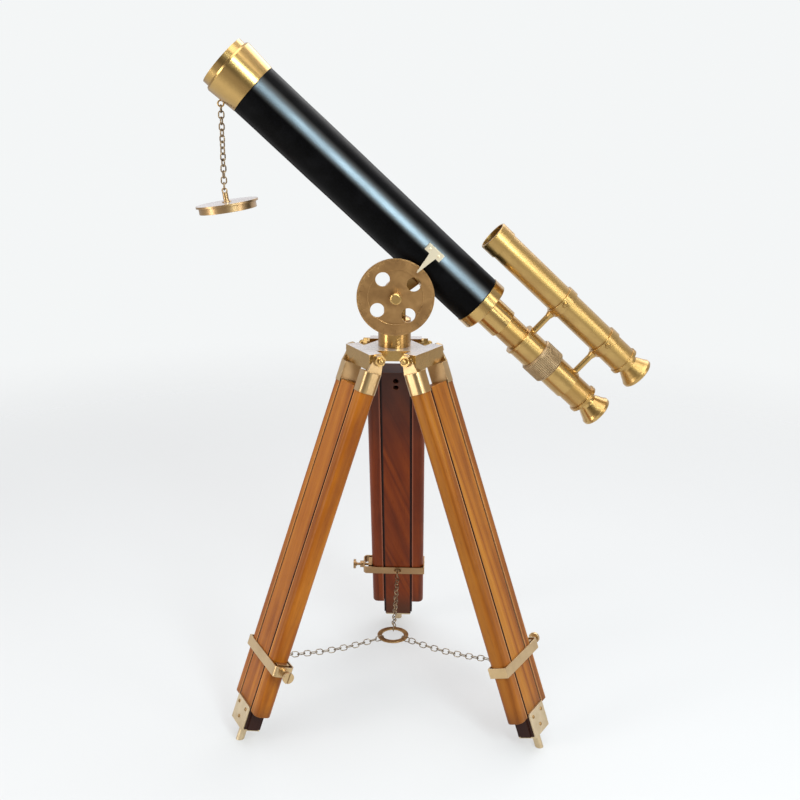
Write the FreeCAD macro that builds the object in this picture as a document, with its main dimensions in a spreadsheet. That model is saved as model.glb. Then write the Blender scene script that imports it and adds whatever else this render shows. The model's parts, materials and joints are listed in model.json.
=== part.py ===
import FreeCAD, Part
import math
import os
import re

V = FreeCAD.Vector

# Every driving size, in millimetres and degrees. Stations along the tube are measured from the tilt
# pivot's foot towards the objective; heights along the tilted normal start at the tilt pivot.
SIZES = [
    # where things stand
    ("pillar_x", -32.3, "pillar axis from the footprint centre, across"),
    ("pillar_y", -30.8, "pillar axis from the footprint centre, front to back"),
    ("pivot_height", 428.4, "floor to tilt pivot"),
    ("tube_azimuth", 1.68, "swivel of the pillar as it stands"),
    ("tube_altitude", 42.7, "tilt of the tube as it stands"),
    ("tripod_azimuth", -2.3, "turn of the tripod head"),
    # tripod head
    ("head_top", 378, "floor to the head's top face"),
    ("head_thickness", 10, "plate"),
    ("head_inradius", 24, "pillar axis to a long side"),
    ("lobe_reach", 39, "pillar axis to a lobe's end face"),
    ("lobe_width", 50.4, "block under each lobe"),
    ("lobe_depth", 15.5, "block height"),
    ("lobe_start", 26, "pillar axis to the block's inner face"),
    ("hinge_radius", 30.8, "pillar axis to a leg hinge"),
    ("hinge_height", 372.7, "floor to a leg hinge"),
    ("barrel_radius", 5.2, "hinge barrel"),
    ("barrel_half", 25.2, "half length of a hinge barrel"),
    ("stud_radius", 3, "hinge stud"),
    ("stud_half", 36, "half length of a hinge stud"),
    ("nut_radius", 5.6, "hinge nut across corners, half"),
    ("nut_height", 4, "hinge nut"),
    ("screw_radius", 5, "azimuth screw shank"),
    ("screw_head_radius", 9, "azimuth screw head"),
    ("screw_head_height", 4, "azimuth screw head"),
    ("screw_reach", 16, "azimuth screw inside the pillar"),
    ("running_gap", 0.05, "radial clearance of a turning or sliding fit"),
    # legs, measured down from the hinge
    ("leg_splay", 20.1, "leg from vertical"),
    ("leg_length", 397.4, "hinge to foot tip"),
    ("leg_thickness", 17, "radial thickness of rails and board"),
    ("rail_width", 13, "each outer rail"),
    ("rail_start", 16.4, "centre plane to a rail's inner face"),
    ("rail_end", 359.5, "hinge to the rail's lower end"),
    ("rail_round", 6, "rounding of a rail's outer edges"),
    ("board_half", 14.9, "half width of the sliding board's faces"),
    ("board_rebate", 3, "depth of the step along the board's edges"),
    ("board_top", 30.2, "hinge to the board's upper end"),
    ("board_end", 380, "hinge to the board's lower end"),
    ("board_hole_radius", 3, "holes near the board's upper end"),
    ("board_hole_depth", 9, "blind depth"),
    ("ferrule_top", 12.8, "hinge to the ferrule's top"),
    ("ferrule_height", 20, "ferrule"),
    ("ferrule_wall", 0.6, "ferrule side wall"),
    ("ferrule_cap", 1.4, "ferrule top wall"),
    ("lug_centre", 26.5, "centre plane to a lug"),
    ("lug_thickness", 2.4, "hinge lug"),
    ("lug_radius", 5, "hinge lug eye"),
    ("lug_base", 15, "hinge lug at the ferrule"),
    # clamp strap
    ("strap_centre", 307, "hinge to the strap's mid height"),
    ("strap_height", 10, "strap strip width"),
    ("strap_wall", 1.2, "strap strip thickness"),
    ("strap_out", 9, "bulge beyond the rail on the screw side"),
    ("strap_round", 4, "outer corner rounding on the screw side"),
    ("loop_radius", 3.2, "chain loop, centre of wire"),
    ("loop_wire", 0.9, "chain loop wire radius"),
    ("block_depth", 4.5, "pressure block, along the screw"),
    ("block_width", 12.6, "pressure block, across the leg"),
    ("thumb_thread", 1.5, "thumb screw shank radius"),
    ("thumb_boss_radius", 3.9, "boss on the strap"),
    ("thumb_boss_height", 4, "boss on the strap"),
    ("thumb_reach", 5, "bare shank beyond the boss"),
    ("thumb_head_radius", 5.4, "thumb screw head"),
    ("thumb_head_height", 2.6, "thumb screw head"),
    # foot
    ("plate_thickness", 1.8, "foot plate"),
    ("plate_half", 14.2, "half width of the foot plate"),
    ("plate_top", 357, "hinge to the foot plate's top"),
    ("peg_offset", 1.5, "leg's middle plane to the peg's axis"),
    ("peg_radius", 3.9, "foot peg"),
    ("peg_neck_radius", 2.8, "foot peg neck"),
    ("peg_top", 385.2, "hinge to the peg's shoulder"),
    ("foot_screw_head", 1.9, "foot plate screw head radius"),
    ("foot_screw_dome", 0.8, "foot plate screw head height"),
    ("foot_screw_shank", 1, "foot plate screw shank radius"),
    ("foot_screw_length", 9, "foot plate screw shank"),
    # spreader
    ("ring_height", 69.7, "floor to the ring's mid plane"),
    ("ring_radius", 16, "spreader ring, outer"),
    ("ring_hole", 11.25, "spreader ring, hole"),
    ("ring_thickness", 1.2, "spreader ring"),
    ("link_inside", 6.8, "spreader chain link, inside length"),
    ("link_gap", 4.4, "spreader chain link, inside width"),
    ("link_wire", 0.48, "spreader chain wire radius"),
    ("chain_sag", 4, "spreader chain sag"),
    ("hanger_inside", 8.6, "link through the ring, inside length"),
    # pillar and tilt pivot
    ("pillar_radius", 15.5, "round base"),
    ("pillar_height", 26, "round base"),
    ("fork_half", 10, "half width of the fork, and its top radius"),
    ("fork_depth", 22, "fork, front to back"),
    ("fork_slot", 10.2, "gap between the fork's ears"),
    ("slot_floor", 12, "pivot to the bottom of the gap"),
    ("pivot_radius", 3, "tilt bolt"),
    ("bolt_head_radius", 6.4, "tilt bolt head, half across corners"),
    ("bolt_head_height", 4.5, "tilt bolt head"),
    ("disc_back", 22.6, "centre plane to the altitude disc's back"),
    ("disc_thickness", 2.6, "altitude disc rim"),
    ("disc_radius", 35.8, "altitude disc"),
    ("disc_recess_radius", 25.4, "inner edge of the raised rim"),
    ("disc_recess", 1.1, "depth inside the rim"),
    ("disc_hub_radius", 8, "spacer behind the disc"),
    ("disc_hole_radius", 6.6, "holes in the disc"),
    ("disc_hole_circle", 20.5, "radius the holes lie on"),
    ("disc_hole_turn", 35.4, "turn of the first hole"),
    ("hub_nut_radius", 5.3, "round nut in front of the disc"),
    ("hub_nut_height", 10, "round nut"),
    # main tube
    ("tube_rise", 47.8, "pivot to the tube's axis"),
    ("sleeve_rear", -61.4, "leather, rear end"),
    ("sleeve_front", 215.9, "leather, front end"),
    ("sleeve_radius", 25, "leather, outside"),
    ("barrel_outer", 23.8, "brass barrel, outside"),
    ("barrel_inner", 22.8, "brass barrel, inside"),
    ("barrel_rear", -68, "brass barrel, rear end"),
    ("barrel_front", 240, "brass barrel, front end"),
    ("cell_back_radius", 25.3, "front ring at the leather"),
    ("cell_front_radius", 27.25, "front ring at its widest"),
    ("cell_flare_front", 243.8, "station of the widest point"),
    ("cell_shoulder", 245.6, "station of the lip's root"),
    ("cell_front", 252.1, "station of the lip's rim"),
    ("lip_radius", 24.45, "lip the cap slips on"),
    ("cell_aperture", 21.2, "stop behind the lens"),
    ("cell_stop", 242, "front face of the stop"),
    ("lens_radius", 22.4, "objective lens"),
    ("lens_edge", 3.2, "objective lens edge"),
    ("lens_gap", 0.1, "clearance round a lens"),
    ("lens_curve", 190, "objective lens face radius"),
    ("hook_station", 229, "cap chain eye along the tube"),
    ("hook_height", 19.4, "cap chain eye above the pivot"),
    ("hook_radius", 2.6, "cap chain eye, centre of wire"),
    ("hook_wire", 0.75, "cap chain eye wire radius"),
    # saddle and pointer
    ("saddle_half", 19.5, "half length of the saddle plate"),
    ("saddle_width", 24, "saddle plate across the tube"),
    ("saddle_wall", 1.8, "saddle plate"),
    ("blade_depth", 10, "lug in the fork, front to back"),
    ("blade_eye", 9.5, "lug eye radius"),
    ("blade_foot", 12, "lug width at the pivot"),
    ("blade_top", 21.4, "lug width at the saddle"),
    ("saddle_screw_station", 15.3, "saddle screws each side of the pivot"),
    ("saddle_screw_head", 2.5, "saddle screw head radius"),
    ("saddle_screw_shank", 1.3, "saddle screw shank radius"),
    ("pointer_station", 2.4, "middle of the pointer's bar"),
    ("pointer_rise", 54.2, "pivot to the middle of the bar"),
    ("pointer_length", 18, "bar, along the tube"),
    ("pointer_width", 7.4, "bar, across"),
    ("pointer_front", 26.7, "centre plane to the pointer's face"),
    ("pointer_back", 25.35, "centre plane to the back of the pointer's stem"),
    ("pointer_root", 8.6, "stem width at the bar"),
    ("pointer_tip_rise", 30.2, "pivot to the pointer's tip"),
    ("rivet_radius", 1.4, "pointer rivet head"),
    ("rivet_shank", 0.8, "pointer rivet shank"),
    ("rivet_spacing", 10.4, "between the two rivets"),
    # rear end and focusing draw
    ("rear_ring_radius", 25.6, "ring at the rear of the leather"),
    ("rear_ring_rear", -72.8, "station"),
    ("guide_radius", 15.2, "guide sleeve"),
    ("guide_rear", -96.1, "station"),
    ("draw_outer", 13, "draw tube, outside"),
    ("draw_inner", 12, "draw tube, inside"),
    ("draw_front", -42, "station inside the barrel"),
    ("draw_rear", -160.4, "station"),
    ("collar_front", -117.4, "front bracket collar, station"),
    ("collar_radius", 15.5, "front bracket collar"),
    ("collar_flange_radius", 16.8, "front bracket collar's flange"),
    ("collar_flange", 2.4, "flange length"),
    ("knurl_front", -139, "knurled ring, station"),
    ("knurl_rear", -160.3, "knurled ring, station"),
    ("knurl_radius", 17.6, "knurled ring"),
    ("knurl_bevel", 1.4, "knurled ring's end bevel"),
    ("sleeve_two_rear", -184.4, "rear bracket collar, station"),
    ("sleeve_two_radius", 14.9, "rear bracket collar"),
    ("eye_tube_radius", 13.5, "eye tube"),
    ("eye_tube_bore", 10.5, "eye tube bore"),
    ("eye_flange_radius", 15.3, "flange at the eye tube's end"),
    ("eye_flange", 3, "flange length"),
    ("eye_tube_rear", -206.7, "station"),
    ("cup_neck_radius", 10.45, "eyepiece neck"),
    ("cup_neck_rear", -211.6, "where the eyepiece starts to widen"),
    ("cup_rim_front", -222.6, "eyepiece rim band, front"),
    ("cup_rear", -226.2, "eyepiece rim, rear face"),
    ("cup_radius", 16, "eyepiece rim"),
    ("cup_insert", 8, "eyepiece barrel inside the eye tube"),
    ("cup_bore", 7, "eyepiece bore"),
    ("cup_dish_depth", 7, "dish in the eyepiece's rear face"),
    ("cup_dish_radius", 13.6, "dish at the rim"),
    ("eye_lens_edge", 1.6, "eye lens edge"),
    ("eye_lens_curve", 16, "eye lens face radius"),
    # finder
    ("finder_rise", 101, "pivot to the finder's axis"),
    ("finder_radius", 13.75, "finder tube, outside"),
    ("finder_bore", 12.7, "finder tube, inside"),
    ("finder_cap_front", -29.7, "station"),
    ("finder_cap_rear", -44.1, "station"),
    ("finder_cap_radius", 14.8, "dew cap"),
    ("finder_stop", 11.6, "stop behind the finder's lens"),
    ("finder_tube_rear", -208.7, "station"),
    ("finder_flange_radius", 14.9, "flange at the finder's end"),
    ("finder_flange", 3, "flange length"),
    ("finder_neck_rear", -213.2, "where the finder's eyepiece starts to widen"),
    ("finder_rim_front", -224.2, "finder eyepiece rim band, front"),
    ("finder_rear", -227.7, "finder eyepiece rim, rear face"),
    ("finder_cup_radius", 16.3, "finder eyepiece rim"),
    ("clamp_length", 8.6, "clamp ring along the finder"),
    ("clamp_radius", 15.4, "clamp ring"),
    ("clamp_front_mid", -122.6, "front clamp ring, middle station"),
    ("clamp_rear_mid", -180.2, "rear clamp ring, middle station"),
    ("strut_radius", 3, "strut between collar and clamp ring"),
    ("strut_flare", 4.6, "strut where it meets the clamp ring"),
    ("clamp_screw_radius", 2.1, "clamp screw head"),
    ("clamp_screw_height", 2, "clamp screw head"),
    ("clamp_screw_shank", 1, "clamp screw shank radius"),
    # cap and its chain
    ("curb_inside", 5.3, "cap chain link, inside length"),
    ("curb_gap", 3.4, "cap chain link, inside width"),
    ("curb_wire", 0.65, "cap chain wire radius"),
    ("curb_count", 14, "links"),
    ("curb_turn", 84, "turn from each link to the next"),
    ("cap_tilt", 8.5, "how far the hanging cap leans"),
    ("cap_radius", 28.5, "cap's flat disc"),
    ("cap_thickness", 2, "cap's flat disc"),
    ("cap_skirt_outer", 26.3, "cap skirt, outside"),
    ("cap_skirt_inner", 24.7, "cap skirt, inside"),
    ("cap_skirt", 5.6, "cap skirt height"),
    ("post_radius", 2.5, "post on the cap"),
    ("post_height", 8.6, "post on the cap"),
]

doc = FreeCAD.newDocument("Telescope")
sheet = doc.addObject("Spreadsheet::Sheet", "Sizes")
for row, (alias, value, note) in enumerate(SIZES, start=1):
    sheet.set(f"A{row}", alias)
    sheet.set(f"B{row}", str(value))
    sheet.set(f"C{row}", note)
    sheet.setAlias(f"B{row}", alias)
doc.recompute()

ALIASES = {alias for alias, _, _ in SIZES}
WORD = re.compile(r"[a-z_]+")


def size(alias):
    """The sheet's value of one size."""
    return float(sheet.get(alias))


def expand(text):
    """Turn a formula written in aliases into one the expression engine can read."""
    return WORD.sub(lambda w: "Sizes." + w.group(0) if w.group(0) in ALIASES else w.group(0), str(text))


def bind(obj, **formulas):
    for prop, text in formulas.items():
        obj.setExpression(prop, expand(text))
    return obj


def put(obj, x=0, y=0, z=0, turn=None):
    """Place a feature: a fixed turn in code, and a position driven by the sheet."""
    if turn:
        obj.Placement = FreeCAD.Placement(V(), turn)
    for letter, text in (("x", x), ("y", y), ("z", z)):
        if text != 0:
            obj.setExpression("Placement.Base." + letter, expand(text))
    return obj


TURNS = {
    "x": FreeCAD.Rotation(V(0, 1, 0), 90),
    "y": FreeCAD.Rotation(V(1, 0, 0), -90),
    "z": None,
}


def cylinder(radius, length, x=0, y=0, z=0, axis="z"):
    obj = doc.addObject("Part::Cylinder", "Cylinder")
    bind(obj, Radius=radius, Height=length)
    return put(obj, x, y, z, TURNS[axis])


def cone(radius_one, radius_two, length, x=0, y=0, z=0, axis="z"):
    obj = doc.addObject("Part::Cone", "Cone")
    bind(obj, Radius1=radius_one, Radius2=radius_two, Height=length)
    return put(obj, x, y, z, TURNS[axis])


def box(length, width, height, x=0, y=0, z=0):
    obj = doc.addObject("Part::Box", "Box")
    bind(obj, Length=length, Width=width, Height=height)
    return put(obj, x, y, z)


def slab(length, width, height, x=0, y=0, z=0):
    """A box centred on x and y, standing on z."""
    return box(length, width, height, f"({x}) - ({length}) / 2", f"({y}) - ({width}) / 2", z)


def ring(radius, wire, x=0, y=0, z=0, axis="z"):
    obj = doc.addObject("Part::Torus", "Torus")
    bind(obj, Radius1=radius, Radius2=wire)
    return put(obj, x, y, z, TURNS[axis])


def sphere(radius, x=0, y=0, z=0):
    obj = doc.addObject("Part::Sphere", "Sphere")
    bind(obj, Radius=radius)
    return put(obj, x, y, z)


def prism(sides, radius, length, x=0, y=0, z=0, axis="z", spin=0):
    obj = doc.addObject("Part::Prism", "Prism")
    obj.Polygon = sides
    bind(obj, Circumradius=radius, Height=length)
    turn = FreeCAD.Rotation(V(0, 0, 1), spin)
    if TURNS[axis]:
        turn = TURNS[axis].multiply(turn)
    return put(obj, x, y, z, turn)


def wedge(bottom, top, depth, height, x=0, y=0, z=0):
    """A flat tapering tongue: bottom and top widths along x, constant depth along y, standing on z."""
    obj = doc.addObject("Part::Wedge", "Wedge")
    bind(
        obj,
        Xmin=f"-({bottom}) / 2", Xmax=f"({bottom}) / 2", Zmin=f"-({depth}) / 2", Zmax=f"({depth}) / 2",
        X2min=f"-({top}) / 2", X2max=f"({top}) / 2", Z2min=f"-({depth}) / 2", Z2max=f"({depth}) / 2",
        Ymin="0 * leg_splay", Ymax=height,
    )
    return put(obj, x, y, z, FreeCAD.Rotation(V(1, 0, 0), 90))


def fuse(*parts):
    if len(parts) == 1:
        return parts[0]
    obj = doc.addObject("Part::MultiFuse", "Fuse")
    obj.Shapes = list(parts)
    obj.Refine = True
    return obj


def cut(base, *tools):
    obj = doc.addObject("Part::Cut", "Cut")
    obj.Base = base
    obj.Tool = fuse(*tools)
    obj.Refine = True
    return obj


def common(one, two):
    obj = doc.addObject("Part::Common", "Common")
    obj.Base = one
    obj.Tool = two
    obj.Refine = True
    return obj


def group(*parts):
    obj = doc.addObject("Part::Compound", "Group")
    obj.Links = list(parts)
    return obj


def turned(steps, start, rise=0, bore=None):
    """A lathe-turned piece along x: steps are (length, radius at its low end, radius at its high end).

    start is the station of the low end and rise the height of the axis. bore is a radius drilled right
    through."""
    pieces = []
    station = f"({start})"
    for length, low, high in steps:
        if low == high:
            pieces.append(cylinder(low, length, station, 0, rise, "x"))
        else:
            pieces.append(cone(low, high, length, station, 0, rise, "x"))
        station += f" + ({length})"
    body = fuse(*pieces)
    if bore is None:
        return body
    return cut(body, cylinder(bore, f"{station} - ({start}) + 2", f"({start}) - 1", 0, rise, "x"))


def rounded_bar(length, width, height, radius, edges_at, x=0, y=0, z=0):
    """A PartDesign bar along z with chosen upright edges rounded; edges_at picks them by side of y."""
    body = doc.addObject("PartDesign::Body", "Bar")
    bar = body.newObject("PartDesign::AdditiveBox", "Stock")
    bind(bar, Length=length, Width=width, Height=height)
    doc.recompute()
    names = []
    middle = bar.Shape.BoundBox.Center.y
    for number, edge in enumerate(bar.Shape.Edges, start=1):
        run = edge.Vertexes[-1].Point - edge.Vertexes[0].Point
        upright = abs(run.z) > 0.9 * edge.Length
        side = edge.CenterOfMass.y - middle
        if upright and side * edges_at > 0:
            names.append(f"Edge{number}")
    rounding = body.newObject("PartDesign::Fillet", "Round")
    rounding.Base = (bar, names)
    bind(rounding, Radius=radius)
    body.Tip = rounding
    doc.recompute()
    return put(body, x, y, z)


# ---------------------------------------------------------------- frames the sub-parts are built in
PILLAR = V(size("pillar_x"), size("pillar_y"), 0)
PIVOT = PILLAR + V(0, 0, size("pivot_height"))
AZIMUTH = FreeCAD.Rotation(V(0, 0, 1), 180 + size("tube_azimuth"))
ALTITUDE = FreeCAD.Rotation(V(0, 1, 0), -size("tube_altitude"))
FLOOR = FreeCAD.Placement(PILLAR, FreeCAD.Rotation(V(0, 0, 1), size("tripod_azimuth")))
SWIVEL = FreeCAD.Placement(PIVOT, AZIMUTH)
TUBE = FreeCAD.Placement(PIVOT, AZIMUTH.multiply(ALTITUDE))
LEGS = {"left": 210, "right": 330, "back": 90}


def leg_frame(bearing):
    """Origin at the hinge, x out of the leg's face, y along the hinge, z up the leg."""
    facing = FreeCAD.Rotation(V(0, 0, 1), bearing + size("tripod_azimuth"))
    hinge = PILLAR + facing.multVec(V(size("hinge_radius"), 0, 0)) + V(0, 0, size("hinge_height"))
    lean = FreeCAD.Rotation(V(0, 1, 0), -size("leg_splay"))
    return FreeCAD.Placement(hinge, facing.multiply(lean))


nodes = []


def node(label, obj, frame):
    """Name a finished sub-part and stand it in its frame."""
    nodes.append((label, obj, frame))
    return obj


# ---------------------------------------------------------------- tripod head
def make_head():
    underside = "head_top - head_thickness"
    plate = common(
        prism(3, "2 * head_inradius", "head_thickness", 0, 0, underside, spin=90),
        prism(3, "2 * lobe_reach", "head_thickness", 0, 0, underside, spin=-90),
    )
    pieces = [plate]
    studs, hardware = [], []
    for bearing in LEGS.values():
        facing = FreeCAD.Rotation(V(0, 0, 1), bearing)
        block = slab(
            "lobe_reach - lobe_start", "lobe_width", "lobe_depth",
            "(lobe_reach + lobe_start) / 2", 0, "head_top - lobe_depth",
        )
        barrel = cylinder(
            "barrel_radius", "2 * barrel_half", "hinge_radius", "-barrel_half", "hinge_height", "y",
        )
        lobe = fuse(block, barrel)
        lobe.Placement = FreeCAD.Placement(V(), facing)
        pieces.append(lobe)
        hole = cylinder("stud_radius", "2 * stud_half", "hinge_radius", "-stud_half", "hinge_height", "y")
        hole_frame = group(hole)
        hole_frame.Placement = FreeCAD.Placement(V(), facing)
        studs.append(hole_frame)
        hardware += make_stud(facing)
    bore = cylinder("screw_radius + running_gap", "head_thickness + 2", 0, 0, "head_top - head_thickness - 1")
    head = cut(fuse(*pieces), bore, *studs)
    node("tripod_head", head, FLOOR)
    node("hinge_bolts", group(*hardware), FLOOR)


def make_stud(facing):
    """One hinge stud with a round tip at each end, and its two hexagon nuts."""
    reach = "stud_half - stud_radius"
    shank = cylinder("stud_radius", f"2 * ({reach})", "hinge_radius", f"-({reach})", "hinge_height", "y")
    tips = [sphere("stud_radius", "hinge_radius", f"{side} * ({reach})", "hinge_height") for side in (-1, 1)]
    pieces = [fuse(shank, *tips)]
    seat = "lug_centre + lug_thickness / 2"
    for start in (seat, f"-({seat}) - nut_height"):
        nut = prism(6, "nut_radius", "nut_height", "hinge_radius", start, "hinge_height", "y", spin=10)
        hole = cylinder(
            "stud_radius", "nut_height + 2", "hinge_radius", f"({start}) - 1", "hinge_height", "y",
        )
        pieces.append(cut(nut, hole))
    for piece in pieces:
        piece.Placement = FreeCAD.Placement(V(), facing)
    return pieces


# ---------------------------------------------------------------- pillar, disc and tilt bolt
def make_pillar():
    foot = "head_top - pivot_height"
    base = cylinder("pillar_radius", "pillar_height", 0, 0, foot)
    shoulder = cone("pillar_radius", "fork_depth / 2 + 1", 2, 0, 0, f"{foot} + pillar_height")
    fork = slab("2 * fork_half", "fork_depth", f"-({foot}) - pillar_height", 0, 0, f"{foot} + pillar_height")
    crown = cylinder("fork_half", "fork_depth", 0, "-fork_depth / 2", 0, "y")
    gap = slab("2 * pillar_radius + 2", "fork_slot", "slot_floor + fork_half + 2", 0, 0, "-slot_floor")
    bolt = cylinder("pivot_radius", "fork_depth + 2", 0, "-fork_depth / 2 - 1", 0, "y")
    socket = cylinder("screw_radius", "screw_reach + 1", 0, 0, f"{foot} - 1")
    node("pillar", cut(fuse(base, shoulder, fork, crown), gap, bolt, socket), SWIVEL)

    under = f"{foot} - head_thickness"
    shank = cylinder("screw_radius", "head_thickness + screw_reach", 0, 0, under)
    head = cylinder("screw_head_radius", "screw_head_height - 1", 0, 0, f"{under} - screw_head_height + 1")
    dome = cone("screw_head_radius - 2", "screw_head_radius", 1, 0, 0, f"{under} - screw_head_height")
    slot = slab("2 * screw_head_radius + 2", 1.6, 2, 0, 0, f"{under} - screw_head_height - 0.5")
    node("azimuth_screw", cut(fuse(shank, head, dome), slot), SWIVEL)


def make_disc():
    rim = cylinder("disc_radius", "disc_thickness", 0, "disc_back", 0, "y")
    hub = cylinder("disc_hub_radius", "disc_back - fork_depth / 2", 0, "fork_depth / 2", 0, "y")
    dish = cylinder(
        "disc_recess_radius", "disc_recess + 1", 0, "disc_back + disc_thickness - disc_recess", 0, "y",
    )
    holes = [dish, cylinder("pivot_radius", "disc_back + 10", 0, 0, 0, "y")]
    for quarter in range(4):
        turn = f"{90 * quarter} - disc_hole_turn"
        holes.append(
            cylinder(
                "disc_hole_radius", "disc_thickness + 4",
                f"disc_hole_circle * cos(({turn}) * 1 deg)", "disc_back - 2",
                f"disc_hole_circle * sin(({turn}) * 1 deg)", "y",
            )
        )
    node("altitude_disc", cut(fuse(rim, hub), *holes), SWIVEL)

    face = "disc_back + disc_thickness - disc_recess"
    reach = f"{face} + hub_nut_height - 1.2"
    shank = cylinder("pivot_radius", f"{reach} + fork_depth / 2", 0, "-fork_depth / 2", 0, "y")
    head = prism(6, "bolt_head_radius", "bolt_head_height", 0, "-fork_depth / 2 - bolt_head_height", 0, "y")
    node("tilt_bolt", fuse(shank, head), SWIVEL)

    drum = cylinder("hub_nut_radius", "hub_nut_height - 1", 0, face, 0, "y")
    bevel = cone("hub_nut_radius", "hub_nut_radius - 1.2", 1, 0, f"{face} + hub_nut_height - 1", 0, "y")
    bore = cylinder("pivot_radius", "hub_nut_height - 1.2", 0, face, 0, "y")
    node("hub_nut", cut(fuse(drum, bevel), bore), SWIVEL)


# ---------------------------------------------------------------- legs
def make_ferrule(side):
    """A capped brass ferrule over one rail's top, with its hinge lug."""
    inner = "rail_start - ferrule_wall" if side > 0 else "-rail_start - rail_width - ferrule_wall"
    shell = rounded_bar(
        "leg_thickness + 2 * ferrule_wall", "rail_width + 2 * ferrule_wall", "ferrule_height",
        "rail_round + ferrule_wall", side,
        "-leg_thickness / 2 - ferrule_wall", inner, "-ferrule_top - ferrule_height",
    )
    pocket = rail_bar(side, "ferrule_height - ferrule_cap", "-ferrule_top - ferrule_height")
    lug = wedge("lug_base", "2 * lug_radius", "lug_thickness", "ferrule_top", 0, f"{side} * lug_centre",
                "-ferrule_top")
    eye = cylinder("lug_radius", "lug_thickness", 0, f"{side} * lug_centre - lug_thickness / 2", 0, "y")
    hole = cylinder("stud_radius + running_gap", "lug_thickness + 2", 0,
                    f"{side} * lug_centre - lug_thickness / 2 - 1", 0, "y")
    return cut(fuse(cut(shell, pocket), lug, eye), hole)


def rail_bar(side, height, z):
    start = "rail_start" if side > 0 else "-rail_start - rail_width"
    return rounded_bar(
        "leg_thickness", "rail_width", height, "rail_round", side, "-leg_thickness / 2", start, z,
    )


def make_board():
    """The sliding board: stepped along both edges, so that a dark line runs beside each rail.

    The steps end just below the ferrules."""
    length = "board_end - board_top"
    faces = slab("leg_thickness", "2 * board_half", length, 0, 0, "-board_end")
    web = slab(
        "leg_thickness - 2 * board_rebate", "2 * (rail_start - running_gap)",
        "board_end - ferrule_top - ferrule_height - 4 * running_gap", 0, 0, "-board_end",
    )
    board = fuse(faces, web)
    holes = [
        cylinder("board_hole_radius", "board_hole_depth + 1", "-leg_thickness / 2 - 1", 0, -drop, "x")
        for drop in (40.3, 48.1)
    ]
    screw_holes = [foot_screw_shank(y, z) for y, z in FOOT_SCREWS]
    return cut(board, *holes, *screw_holes)


FOOT_SCREWS = ((-8.5, -362.5), (8.5, -362.5), (0, -374))


def foot_screw_shank(y, z):
    start = "leg_thickness / 2 + plate_thickness - foot_screw_length"
    return cylinder("foot_screw_shank", "foot_screw_length", start, y, z, "x")


def make_foot_screws():
    screws = []
    for y, z in FOOT_SCREWS:
        face = "leg_thickness / 2 + plate_thickness"
        head = cone("foot_screw_head", "foot_screw_head - 0.7", "foot_screw_dome", face, y, z, "x")
        slot = box("foot_screw_dome", "2 * foot_screw_head + 1", 0.5, f"{face} + foot_screw_dome / 2",
                   f"{y} - foot_screw_head - 0.5", f"{z} - 0.25")
        screws.append(cut(fuse(head, foot_screw_shank(y, z)), slot))
    return group(*screws)


def make_foot_plate():
    """Angle plate over the board's outer face and end, with a peg below cut level with the floor."""
    face = "leg_thickness / 2"
    low = "-board_end - plate_thickness"
    upright = box("plate_thickness", "2 * plate_half", "board_end + plate_thickness - plate_top", face,
                  "-plate_half", low)
    sole = box("leg_thickness", "2 * plate_half", "plate_thickness", "-leg_thickness / 2", "-plate_half", low)
    neck = cylinder("peg_neck_radius", "peg_top - board_end - 1", "peg_offset", 0, "-peg_top")
    peg = cylinder("peg_radius", "leg_length - peg_top + 4", "peg_offset", 0, "-leg_length - 4")
    ground = slab(60, 60, 20, 0, 0, -20)
    level = group(ground)
    level.Placement = FreeCAD.Placement(V(), FreeCAD.Rotation(V(0, 1, 0), size("leg_splay")))
    bind(level, **{
        "Placement.Base.x": "peg_offset",
        "Placement.Base.z": "-(hinge_height + peg_offset * sin(leg_splay * 1 deg)) / cos(leg_splay * 1 deg)",
    })
    holes = [foot_screw_shank(y, z) for y, z in FOOT_SCREWS]
    return cut(fuse(upright, sole, neck, peg), level, *holes)


def make_strap():
    """Closed strap round rails and board, bulged on one side to hold the pressure block."""
    half = "leg_thickness / 2 + running_gap"
    low = "-strap_centre - strap_height / 2"
    outer = rounded_bar(
        f"2 * ({half} + strap_wall)",
        "2 * (rail_start + rail_width) + strap_out + 2 * strap_wall", "strap_height", "strap_round", 1,
        f"-({half}) - strap_wall", "-rail_start - rail_width - strap_wall", low,
    )
    inner = rounded_bar(
        f"2 * ({half})", "2 * (rail_start + rail_width) + strap_out", "strap_height + 2",
        "strap_round - strap_wall", 1, f"-({half})", "-rail_start - rail_width", f"{low} - 1",
    )
    wall = "rail_start + rail_width + strap_out"
    boss = cylinder("thumb_boss_radius", "thumb_boss_height", 0, f"{wall} + strap_wall", "-strap_centre", "y")
    thread = cylinder("thumb_thread + running_gap", "strap_wall + thumb_boss_height + 2", 0, f"{wall} - 1",
                      "-strap_centre", "y")
    loop_x = f"-({half}) - strap_wall"
    loop = ring("loop_radius", "loop_wire", loop_x, 0, "-strap_centre")
    keep = box(10, 20, 10, f"{loop_x} - 9.5", -10, "-strap_centre - 5")
    return cut(fuse(cut(outer, inner), boss, common(loop, keep)), thread)


def make_block():
    return group(box("block_width", "block_depth", "strap_height", "-block_width / 2", "rail_start + rail_width",
                     "-strap_centre - strap_height / 2"))


def make_thumb_screw():
    tip = "rail_start + rail_width + block_depth"
    wall = "rail_start + rail_width + strap_out + strap_wall + thumb_boss_height + thumb_reach"
    shank = cylinder("thumb_thread", f"{wall} - ({tip}) + 0.5", 0, tip, "-strap_centre", "y")
    collar = cylinder("thumb_thread + 1", 1.2, 0, f"{wall} - 1.2", "-strap_centre", "y")
    head = cylinder("thumb_head_radius", "thumb_head_height", 0, wall, "-strap_centre", "y")
    slot = slab(1.2, 2, 14, 0, f"{wall} + thumb_head_height", "-strap_centre - 7")
    return cut(fuse(shank, collar, head), slot)


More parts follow.
